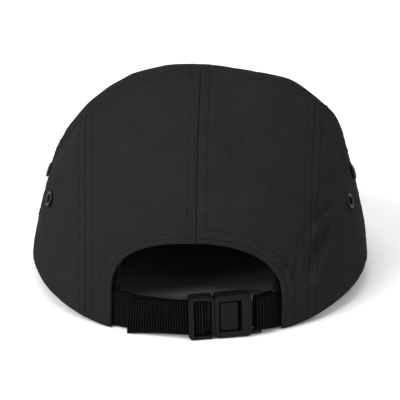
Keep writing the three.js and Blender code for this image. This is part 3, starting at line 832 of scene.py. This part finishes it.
# Twill of the cloth: angle and spacing of its lines, their share of the weave, and contrast
CLOTH_GREY = 0.0133
SIDE_GREY = 0.0137
BACK_TWILL = {"left": (53, 1.2, 0.9, 1.15), "right": (59, 1.28, 0.26, 1.2)}
SIDE_TWILL = {"left": (32, 1.7, 0.25), "right": (45, 1.9, 0.2)}
SIDE_ROW = (4.1,)
FRONT_ROW = (4.0,)
CENTRE_ROW = (4.5,)
ARCH_ROWS = (2.5, 7.0)
HOLE_RADIUS = 3.3


def make_crown():
    for side, word in SIDES:
        back_cloth = cloth_material(f"back cloth {word}", CLOTH_GREY, *BACK_TWILL[word])
        side_cloth = cloth_material(f"side cloth {word}", SIDE_GREY, *SIDE_TWILL[word])
        back_edges = [
            edge(arch, HEM_ROLL, ARCH_ROWS, 0.25, over=True),
            edge(centre_seam(side), SEAM_ROLL, CENTRE_ROW),
            edge(side_seam(side, -1), SEAM_ROLL, SIDE_ROW),
            edge(front_seam(1), SEAM_ROLL, FRONT_ROW, over=True),
        ]
        replaced = [f"back_panel_{word}"]
        make_panel(f"cloth_back_{word}", back_edges, back_cloth, replaced, (0, 0.45))
        side_edges = [
            edge(side_seam(side, 1), SEAM_ROLL, SIDE_ROW),
            edge(front_seam(1), SEAM_ROLL, FRONT_ROW, over=True),
        ]
        for name in EYELETS:
            centre, axis = eyelet_seat(name, side)
            side_edges.append(edge(hole(centre, axis, HOLE_RADIUS), 0))
        replaced = [f"side_panel_{word}"]
        make_panel(f"cloth_side_{word}", side_edges, side_cloth, replaced, (side * 60, 0.35))
    front_cloth = cloth_material("front cloth", CLOTH_GREY, 60, 1.1)
    front_edges = [edge(front_seam(-1), SEAM_ROLL, FRONT_ROW)]
    make_panel("cloth_front", front_edges, front_cloth, ["front_panel"], (180, 0.5))
    finish_stitches("crown_stitching")


TAPE_HALF = 5
TAPE_ROLL = 0.25
TAPE_THICKNESS = 0.5
TAPE_INSET = 0.15
FRONT_TAPE_INSET = 0.85


def make_seam_tapes():
    """Tape on the inside of each seam of the crown"""
    tape = cloth_material("seam tape", 0.008, 45, 0.8)

    def beside(field):
        return edge(lambda p: TAPE_HALF - np.abs(field(p) + SEAM_LINE / 2), TAPE_ROLL)

    behind = edge(front_seam(1), TAPE_ROLL)
    tapes = {
        "centre": [beside(centre_seam(1)), edge(arch, TAPE_ROLL), behind],
        "left": [beside(side_seam(1, 1)), behind],
        "right": [beside(side_seam(-1, 1)), behind],
        "front": [beside(front_seam(1))],
    }
    for word, edges in tapes.items():
        inset = CLOTH + (FRONT_TAPE_INSET if word == "front" else TAPE_INSET)
        make_panel(f"seam_tape_{word}", edges, tape, (), inset=inset, thickness=TAPE_THICKNESS)


# Eyelets: the barrel's radius and level at its corners, and the half-sizes and the centre of its bead
BARREL = [(2.2, -1.9), (2.9, -1.9), (2.9, 0.35), (3.5, 0.25)]
BARREL_MOUTH = (2.2, 0.3)
BEAD_CENTRE = (3.05, 0.6)
BEAD_HALF = (0.85, 0.65)
BEAD_STEPS = 8
LATHE_STEPS = 48


def lathe(profile, centre, axis):
    axis = normalized(np.asarray(axis, float))
    first = normalized(np.cross(axis, (0, 0, 1)))
    second = np.cross(axis, first)
    loops = []
    for k in range(LATHE_STEPS):
        turn = 2 * math.pi * k / LATHE_STEPS
        out = math.cos(turn) * first + math.sin(turn) * second
        loops.append([centre + out * radius + axis * level for radius, level in profile])
    return skin(loops, close=True, flip=True)


def make_eyelets():
    profile = list(BARREL)
    for k in range(BEAD_STEPS + 1):
        turn = (-0.35 + 1.35 * k / BEAD_STEPS) * math.pi
        radius = BEAD_CENTRE[0] + BEAD_HALF[0] * math.cos(turn)
        profile.append((radius, BEAD_CENTRE[1] + BEAD_HALF[1] * math.sin(turn)))
    profile.append(BARREL_MOUTH)
    for side, word in SIDES:
        for name in EYELETS:
            points, faces = lathe(profile, *eyelet_seat(name, side))
            replaced = [f"eyelet_{word}_{name}"]
            object_from(f"eyelet_ring_{word}_{name}", points, faces, METAL, replaced)


# Sweatband
BAND_STEPS = 240
BAND_GROOVE = 0.25
GROOVE_WIDTH = 0.9
BAND_WAVE = 0.18
BAND_ROUNDING = 0.35
BAND_MM_PER_DEGREE = 1.6
BAND_ROWS = (2, 12)


def make_sweatband():
    start = rim_angle(ARCH_HALF - BAND_PAST_ARCH)
    webbing_end = rim_angle(ARCH_HALF + WEBBING_TUCK)
    over_webbing = CLOTH + WEBBING_THICKNESS + BAND_GAP + 2 * SEAM_GAP
    across = np.linspace(0, 1, 15)
    loops = []
    uvs = []
    rows = [[], []]
    quilt = waves(21, 24, 9, 30)
    for angle in np.linspace(start, 360 - start, BAND_STEPS + 1):
        from_end = min(angle, 360 - angle) - webbing_end
        ease = float(smoothstep(from_end, 2, 14))
        outer = over_webbing + (CLOTH + BAND_GAP - over_webbing) * ease
        low = -BAND_DROP + (BAND_RISE + BAND_DROP) * ease
        levels = low + (BAND_RISE + BAND_HEIGHT - low) * across
        angles = np.full(len(levels), angle)
        shares = crown_share_at(angles, np.maximum(levels, 0))
        base = crown(angles, shares)
        normal = crown_normal(angles, shares)
        base[:, 2] += np.minimum(levels, 0)
        run = np.minimum(levels - low, BAND_RISE + BAND_HEIGHT - levels)
        groove = BAND_GROOVE * bell(run - 3.0, GROOVE_WIDTH)
        wave = BAND_WAVE * quilt(base)
        near = base - normal * outer
        far = base - normal * (outer + BAND_THICKNESS - groove + wave * (run > 0.5))[:, None]
        top = base[-1] - normal[-1] * (outer + BAND_THICKNESS / 2) + (0, 0, BAND_ROUNDING)
        bottom = base[0] - normal[0] * (outer + BAND_THICKNESS / 2) - (0, 0, BAND_ROUNDING)
        loops.append(np.concatenate([near, [top], far[::-1], [bottom]]))
        levels_uv = np.concatenate([levels, [levels[-1]], levels[::-1], [levels[0]]])
        uvs.append(np.stack([np.full(len(levels_uv), angle * BAND_MM_PER_DEGREE), levels_uv], -1))
        for row, k in zip(rows, BAND_ROWS):
            row.append((far[k], -normal[k]))
    points, faces = skin(loops, flip=True)
    band = cloth_material("band cloth", 0.006, 58, 0.9)
    object_from("band", points, faces, band, ["sweatband"], uv=np.concatenate(uvs))
    for row in rows:
        add_stitches([p for p, _ in row], [n for _, n in row])
    finish_stitches("band_stitching")


# Peak
PEAK_EDGE = 1.2
PEAK_STEPS = 220
PEAK_ROW_GAP = 6.0
PEAK_ROW_FROM = 2.0
PEAK_ROWS = 8
PEAK_GROOVE = 0.22


def peak_outline(turn):
    reach = HALF_LENGTH + PEAK_LENGTH - PEAK_START
    x = PEAK_HALF_WIDTH * signed_power(np.cos(turn), 2 / PEAK_POWER)
    y = -PEAK_START - reach * np.sin(turn) ** (2 / PEAK_POWER)
    return np.stack([x, y], -1)


def make_peak():
    dense = peak_outline(np.linspace(0, math.pi, 4001))
    run = run_along(dense)
    places = np.linspace(0, run[-1], PEAK_STEPS + 1)
    outline = sampled(places, run, dense)
    tangent = normalized(np.gradient(outline, axis=0))
    inward = np.stack([tangent[:, 1], -tangent[:, 0]], -1)
    inward *= np.sign((inward * (np.array([0, -60]) - outline)).sum(-1))[:, None]
    start = 90 + math.degrees(math.asin((PEAK_START / HALF_LENGTH) ** (RIM_POWER / 2)))
    angles = np.linspace(start, 360 - start, 2001)
    rim = crown(angles, np.zeros(len(angles)), PEAK_TUCK)[:, :2]
    rim_run = run_along(rim)
    inner = sampled(rim_run[-1] * places / run[-1], rim_run, rim)
    top_z = PEAK_THICKNESS
    swell = waves(31, 20, 14, 40)
    shares = np.linspace(0, 1, 34)
    loops = []
    uvs = []
    for i in range(PEAK_STEPS + 1):
        edge_centre = outline[i] + inward[i] * PEAK_EDGE
        line = inner[i] + (edge_centre - inner[i]) * shares[:, None]
        flat = np.concatenate([line, np.zeros((len(line), 1))], -1)
        hump = 0.1 * swell(flat)
        from_edge = np.linalg.norm(line - outline[i], axis=-1)
        row = np.maximum((from_edge - PEAK_ROW_FROM) / PEAK_ROW_GAP, 0)
        off_row = (row - np.round(row)) * PEAK_ROW_GAP
        quilted = -PEAK_GROOVE * bell(off_row, GROOVE_WIDTH) * (from_edge > 4)
        top = np.concatenate([line, (top_z - 0.12 + np.minimum(hump, 0.1) + quilted)[:, None]], -1)
        under = np.concatenate([line, (0.02 - quilted)[:, None]], -1)
        arc = []
        for k in range(1, 8):
            turn = math.pi / 2 - k * math.pi / 8
            out = edge_centre - inward[i] * math.cos(turn) * PEAK_EDGE
            arc.append((*out, top_z / 2 + math.sin(turn) * (top_z / 2 - 0.1)))
        loops.append(np.concatenate([top, arc, under[::-1]]))
        uvs.append(loops[-1][:, :2])
    points, faces = skin(loops, flip=True)
    cloth = cloth_material("peak cloth", CLOTH_GREY, 60, 1.0)
    object_from("bill", points, faces, cloth, ["peak"], uv=np.concatenate(uvs))
    rim_edge = crown(angles, np.zeros(len(angles)))[:, :2]
    for row in range(1, PEAK_ROWS + 1):
        offset = PEAK_ROW_FROM + PEAK_ROW_GAP * row
        line = outline + inward * offset
        gap = np.linalg.norm(line[:, None] - rim_edge[None, ::20], axis=-1).min(1)
        size = np.abs(line[:, 0] / HALF_WIDTH) ** RIM_POWER + np.abs(line[:, 1] / HALF_LENGTH) ** RIM_POWER
        own = np.linalg.norm(line[:, None] - outline[None], axis=-1).min(1)
        clear = (size > 1) & (gap > CLEAR_OF_RIM) & (own > offset - 0.4) & (line[:, 1] < -PEAK_START - 2)
        places_3d = np.concatenate([line, np.full((len(line), 1), top_z - 0.3)], -1)[clear]
        if len(places_3d) > 8:
            add_stitches(places_3d, np.tile((0.0, 0.0, 1.0), (len(places_3d), 1)))
    finish_stitches("bill_stitching")


# Buckle: x along the webbing, y outward, z across the webbing
BUCKLE_PLACE = np.array([-11, 96.8, 11.2])
BUCKLE_TURN = np.array(Matrix.Rotation(math.radians(11), 3, "Z") @ Matrix.Rotation(math.radians(1.2), 3, "Y"))
BUCKLE_END = 15.15
JOINT_X = 2.85
BUCKLE_FACE = 3.584
BUCKLE_BACK = -2.816
SLOT_HALF = 9.1
BUCKLE_HALF_HEIGHT = 10.7
RAIL = 1.6
BUCKLE_CORNER = 2
CORNER_STEPS = 6
BAR_STEPS = 24
BUCKLE_SOFTENING = 0.32
GRIP_RADIUS = 0.5
GRIP_HEIGHT = 0.42
ADJUSTER_BAR_X = 8.45
END_BAR_X = -19.25
BAR_RADIUS = 1.1
LOOP_RADIUS = 2.1
FIT = 0.3
TAIL_END = 32.7
TAIL_LIFT = 2.4
TAIL_CURL = 3.0
TAIL_SAG = 0.7
STRAP_MIDDLE = 0.52
STRAP_BOW = 2.4
STRAP_STAND = 0.6
OUTER_BAR = 2.3
FIXED_RETURN_END = 36.5
RIB_DEPTH = 0.26
CELL = 2.1
CELL_DEPTH = 0.06
# Painted shade: length at the end of each webbing drawn darker; 200 mm is more than the whole fixed webbing,
# so all of it is darkened
TAIL_PAINTED_SHADE = 30
FIXED_PAINTED_SHADE = 200


def from_buckle(points):
    return np.asarray(points, float) @ BUCKLE_TURN.T + BUCKLE_PLACE


def crown_station(angle, inside):
    share = crown_share_at(np.array(angle), WEBBING_CENTRE - RIM_Z)
    middle = crown(angle, share, inside)
    high = crown(angle, share + 0.04, inside)
    return middle, normalized(high - middle)


def buckle_station(x, y):
    return from_buckle((x, y, 0)), BUCKLE_TURN @ np.array([0, 0, 1.0])


def loop_stations(bar_x, towards):
    reach = towards * LOOP_RADIUS
    turns = [i * math.pi / 4 for i in range(5)]
    return [buckle_station(bar_x + reach * math.sin(a), -LOOP_RADIUS * math.cos(a)) for a in turns]


SPLINE_SAMPLES = 60


def spline(points):
    """Centripetal curve through points"""
    points = [np.asarray(p, float) for p in points]
    points = [2 * points[0] - points[1], *points, 2 * points[-1] - points[-2]]
    result = []
    for i in range(1, len(points) - 2):
        p0, p1, p2, p3 = points[i - 1:i + 3]
        d0, d1, d2 = (max(np.linalg.norm(b - a), 1e-8) ** 0.5 for a, b in ((p0, p1), (p1, p2), (p2, p3)))
        m1 = ((p1 - p0) / d0 - (p2 - p0) / (d0 + d1) + (p2 - p1) / d1) * d1
        m2 = ((p2 - p1) / d1 - (p3 - p1) / (d1 + d2) + (p3 - p2) / d2) * d1
        for k in range(SPLINE_SAMPLES + (i == len(points) - 3)):
            s = k / SPLINE_SAMPLES
            result.append((2 * s**3 - 3 * s**2 + 1) * p1 + (s**3 - 2 * s**2 + s) * m1
                          + (3 * s**2 - 2 * s**3) * p2 + (s**3 - s**2) * m2)
    return np.array(result)


def make_webbing(name, stations, replaced, shaded_length):
    middles = spline([station[0] for station in stations])
    acrosses = normalized(spline([station[1] for station in stations]))
    run = run_along(middles)
    places = np.linspace(0, run[-1], int(run[-1] / (RIB / 4)) + 1)
    middle = sampled(places, run, middles)
    across = normalized(sampled(places, run, acrosses))
    tangent = normalized(np.gradient(middle, axis=0))
    outward = normalized(np.cross(across, tangent))
    shares = np.linspace(-1, 1, 33)[1:-1]
    half = WEBBING_WIDTH / 2
    thick = WEBBING_THICKNESS / 2
    loops = []
    uvs = []
    for i, s in enumerate(places):
        rib = 0.5 - 0.5 * math.cos(2 * math.pi * s / RIB)
        cell = 0.5 + 0.5 * np.cos(2 * math.pi * (shares * half / CELL + 0.5 * (int(s / RIB) % 2)))
        high = thick - 0.02 - RIB_DEPTH * (1 - rib) - CELL_DEPTH * cell
        edge_in = np.minimum((1 - np.abs(shares)) * half / 0.9, 1)
        high = high * np.sqrt(np.maximum(1 - (1 - edge_in) ** 2, 0.1))
        width = half - 0.1 * (1 - rib)
        flat = middle[i] + across[i] * (shares * width)[:, None]
        front = flat + outward[i] * high[:, None]
        back = flat - outward[i] * high[:, None]
        ends = [middle[i] + across[i] * width, middle[i] - across[i] * width]
        loops.append(np.concatenate([front, ends[:1], back[::-1], ends[1:]]))
        side = np.concatenate([shares, [1.0], shares[::-1], [-1.0]]) * half
        uvs.append(np.stack([np.full(len(side), s), side], -1))
    points, faces = skin(loops)
    cloth = webbing_material(name, run[-1] - shaded_length)
    object_from(name, points, faces, cloth, replaced, uv=np.concatenate(uvs))


def make_straps():
    tucked_inside = CLOTH + 3 * SEAM_GAP + WEBBING_THICKNESS / 2
    arch_angle = rim_angle(ARCH_HALF + WEBBING_LEAVES)
    tucked_angle = rim_angle(ARCH_HALF + WEBBING_TUCK)

    def shifted(station, out):
        return station[0] + np.array([0, out, 0]), station[1]

    tucked = crown_station(tucked_angle, tucked_inside)
    arch_edge = crown_station(arch_angle, tucked_inside)
    entry = buckle_station(BUCKLE_END + FIT, -WEBBING_THICKNESS / 2 - FIT)
    half = arch_edge[0] + (entry[0] - arch_edge[0]) * STRAP_MIDDLE + (0, STRAP_BOW, 0)
    across = normalized(arch_edge[1] + (entry[1] - arch_edge[1]) * STRAP_STAND)
    middle = (half, across)
    tail_end = shifted(arch_edge, TAIL_LIFT)
    lifted = shifted(middle, TAIL_LIFT)
    share = (ARCH_HALF - TAIL_END) / (ARCH_HALF - half[0])
    tail_end = (tail_end[0] + (lifted[0] - tail_end[0]) * share + (0, TAIL_CURL, -TAIL_SAG), tail_end[1])
    under = [buckle_station(BUCKLE_END - start, WEBBING_THICKNESS / 2 + FIT / 2) for start in (OUTER_BAR, 0)]
    route = [tucked, arch_edge, middle, entry, *loop_stations(ADJUSTER_BAR_X, -1), *under, lifted, tail_end]
    make_webbing("webbing_adjustable", route, ["strap_adjustable"], TAIL_PAINTED_SHADE)

    tucked = crown_station(-tucked_angle, tucked_inside)
    arch_edge = crown_station(-arch_angle, tucked_inside)
    loop = loop_stations(END_BAR_X, 1)[::-1]
    leave = buckle_station(END_BAR_X - LOOP_RADIUS, LOOP_RADIUS)
    enter = buckle_station(END_BAR_X - LOOP_RADIUS, -LOOP_RADIUS)
    share = (ARCH_HALF - FIXED_RETURN_END) / (ARCH_HALF + END_BAR_X - 11)
    returned = shifted(arch_edge, -WEBBING_THICKNESS - 2 * FIT)
    returned = (returned[0] + (enter[0] - returned[0]) * share, returned[1])
    route = [tucked, arch_edge, leave, *loop, enter, returned]
    make_webbing("webbing_fixed", route, ["strap_fixed"], FIXED_PAINTED_SHADE)


def prism(outline, low, high, axis):
    """Closed solid from an outline, drawn out along the y or the z axis"""
    count = len(outline)
    if axis == "y":
        points = [(a, end, b) for end in (low, high) for a, b in outline]
    else:
        points = [(a, b, end) for end in (low, high) for a, b in outline]
    faces = [tuple(range(count)), tuple(reversed(range(count, 2 * count)))]
    faces += [(k, k + count, (k + 1) % count + count, (k + 1) % count) for k in range(count)]
    if axis == "z":
        faces = [(face[0], *face[:0:-1]) for face in faces]
    return linked("form", mesh_from("form", points, faces))


def block(from_x, to_x, from_y, to_y, from_z, to_z):
    outline = [(from_x, from_z), (to_x, from_z), (to_x, to_z), (from_x, to_z)]
    return prism(outline, from_y, to_y, "y")


def round_outline(from_x, to_x):
    half = BUCKLE_HALF_HEIGHT
    corner = BUCKLE_CORNER
    corners = [(to_x - corner, half - corner, 0), (from_x + corner, half - corner, 90),
               (from_x + corner, corner - half, 180), (to_x - corner, corner - half, 270)]
    outline = []
    for x, z, first in corners:
        for k in range(CORNER_STEPS + 1):
            turn = math.radians(first + 90 * k / CORNER_STEPS)
            outline.append((x + corner * math.cos(turn), z + corner * math.sin(turn)))
    return outline


def round_bar(x):
    turns = [2 * math.pi * k / BAR_STEPS for k in range(BAR_STEPS)]
    outline = [(x + BAR_RADIUS * math.cos(turn), BAR_RADIUS * math.sin(turn)) for turn in turns]
    half_length = BUCKLE_HALF_HEIGHT - RAIL / 2
    return prism(outline, -half_length, half_length, "z")


def carved(name, start, steps, replaced, extras=()):
    """Joins and cuts forms, softens the edges, and puts the result at the buckle's place"""
    for operation, other in steps:
        modifier = start.modifiers.new("step", "BOOLEAN")
        modifier.operation = operation
        modifier.solver = "EXACT"
        modifier.object = other
    soften = start.modifiers.new("soften", "BEVEL")
    soften.width = BUCKLE_SOFTENING
    soften.segments = 3
    soften.limit_method = "ANGLE"
    soften.angle_limit = math.radians(40)
    soften.use_clamp_overlap = True
    start.data.polygons.foreach_set("use_smooth", [True] * len(start.data.polygons))
    graph = bpy.context.evaluated_depsgraph_get()
    mesh = bpy.data.meshes.new_from_object(start.evaluated_get(graph))
    points = np.array([vertex.co[:] for vertex in mesh.vertices])
    faces = [tuple(polygon.vertices) for polygon in mesh.polygons]
    for extra_points, extra_faces in extras:
        base = len(points)
        points = np.concatenate([points, extra_points])
        faces += [tuple(base + i for i in face) for face in extra_faces]
    for form in [start] + [other for _, other in steps]:
        bpy.data.objects.remove(form)
    piece = object_from(name, from_buckle(points), faces, PLASTIC, replaced)
    piece.data.set_sharp_from_angle(angle=math.radians(35))


def grip(centre):
    """Low dome on the push pad"""
    steps = 12
    rings = 4
    points = []
    faces = []
    for i in range(rings):
        turn = math.pi / 2 * i / rings
        out = GRIP_RADIUS * math.cos(turn)
        for k in range(steps):
            a = 2 * math.pi * k / steps
            points.append((out * math.cos(a), GRIP_HEIGHT * math.sin(turn), out * math.sin(a)))
    points.append((0, GRIP_HEIGHT, 0))
    for i in range(rings - 1):
        for k in range(steps):
            j = (k + 1) % steps
            faces.append((i * steps + k, (i + 1) * steps + k, (i + 1) * steps + j, i * steps + j))
    for k in range(steps):
        faces.append(((rings - 1) * steps + k, len(points) - 1, (rings - 1) * steps + (k + 1) % steps))
    faces.append(tuple(range(steps)))
    return np.array(points) + centre, faces


def make_buckle():
    far = 60
    pad_half = 7.0
    pad_from = -8.35
    pad_to = -0.25
    pad_face = 3.2
    pad_slope = 1.7
    body = prism(round_outline(JOINT_X, BUCKLE_END), BUCKLE_BACK, BUCKLE_FACE, "y")
    slot_from = JOINT_X + 1.2
    pad_end = pad_from - pad_slope
    pad_outline = [(pad_to, 0.2), (pad_to, pad_face), (pad_from, pad_face), (pad_end, 1.3), (pad_end, 0.2)]
    steps = [
        ("DIFFERENCE", block(slot_from, BUCKLE_END - OUTER_BAR, -far, far, -SLOT_HALF, SLOT_HALF)),
        ("DIFFERENCE", block(slot_from, far, -far, BUCKLE_FACE - 1.6, -SLOT_HALF, SLOT_HALF)),
        ("UNION", round_bar(ADJUSTER_BAR_X)),
        ("UNION", block(pad_end, slot_from, -1, 1, -pad_half, pad_half)),
        ("UNION", prism(pad_outline, -pad_half, pad_half, "z")),
    ]
    grips = []
    for column in range(4):
        for row in range(6):
            x = pad_from + 1.2 + column * 1.85
            z = -5.4 + row * 2.05 + (0.5 if column % 2 else -0.5)
            grips.append(grip((x, pad_face - 0.03, z)))
    carved("buckle_frame", body, steps, ["buckle_tongue"], grips)

    mouth = JOINT_X - FIT
    window_from = -10.45
    window_to = 0.55
    window_half = 7.8
    body = prism(round_outline(-BUCKLE_END, mouth), BUCKLE_BACK, BUCKLE_FACE, "y")
    front = BUCKLE_FACE - 1.5
    back = BUCKLE_BACK + 1.5
    steps = [
        ("DIFFERENCE", block(window_from - 1, far, back, front, -window_half, window_half)),
        ("DIFFERENCE", block(window_from, window_to, 0, far, -window_half, window_half)),
        ("UNION", round_bar(END_BAR_X)),
    ]
    for side in (-1, 1):
        low = min(side * SLOT_HALF, side * BUCKLE_HALF_HEIGHT)
        steps.append(("UNION", block(END_BAR_X - BAR_RADIUS, 2 - BUCKLE_END, -1.1, 1.1, low, low + RAIL)))
    carved("buckle_body", body, steps, ["buckle_socket"])


# Stage, lights and camera
FLOOR_HALF = 6.0
SKY_STRENGTH = 0.6
CAMERA_AZIMUTH = 181.3
CAMERA_ELEVATION = 20
CAMERA_DISTANCE = 1200
CAMERA_LENS = 209.07
AIM_LEFT = 0.26
AIM_UP = 27.4


def make_stage():
    corners = [(-1, -1), (1, -1), (1, 1), (-1, 1)]
    mesh = mesh_from("floor", [(x * FLOOR_HALF, y * FLOOR_HALF, 0) for x, y in corners], [(0, 1, 2, 3)])
    mesh.materials.append(floor_painted_shade_material())
    floor = linked("floor", mesh)
    world = bpy.data.worlds.new("studio")
    world.use_nodes = True
    sky = world.node_tree.nodes["Background"]
    sky.inputs["Color"].default_value = (1, 1, 1, 1)
    sky.inputs["Strength"].default_value = SKY_STRENGTH
    scene.world = world
    scene.view_settings.view_transform = "Standard"


def add_light(name, place, target, size, power):
    data = bpy.data.lights.new(name, "AREA")
    data.shape = "DISK"
    data.size = size
    data.energy = power
    light = linked(name, data)
    light.location = place
    light.rotation_euler = (Vector(target) - Vector(place)).to_track_quat("-Z", "Y").to_euler()


def make_lights():
    middle = (0, 0.03, 0.05)
    add_light("key", (1.1, 1.0, 1.0), middle, 1.3, 32)
    add_light("fill", (-1.2, 1.2, 0.9), middle, 1.4, 9.5)
    add_light("top", (0.2, -0.2, 1.7), middle, 1.4, 13)


def make_camera():
    azimuth = math.radians(CAMERA_AZIMUTH)
    elevation = math.radians(CAMERA_ELEVATION)
    flat = math.cos(elevation)
    back = Vector((math.sin(azimuth) * flat, -math.cos(azimuth) * flat, math.sin(elevation)))
    right = (-back).cross(Vector((0, 0, 1))).normalized()
    up = right.cross(-back)
    target = Vector((0, SHIFT_Y, RIM_Z))
    data = bpy.data.cameras.new("camera")
    data.lens = CAMERA_LENS
    data.sensor_width = 36
    data.clip_start = 0.05
    data.clip_end = 30
    camera = linked("camera", data)
    camera.location = (target + back * CAMERA_DISTANCE - right * AIM_LEFT + up * AIM_UP) * MM
    camera.rotation_euler = (-back).to_track_quat("-Z", "Y").to_euler()
    scene.camera = camera


make_camera()
make_stage()
make_lights()
make_crown()
make_seam_tapes()
make_eyelets()
make_sweatband()
make_peak()
make_straps()
make_buckle()
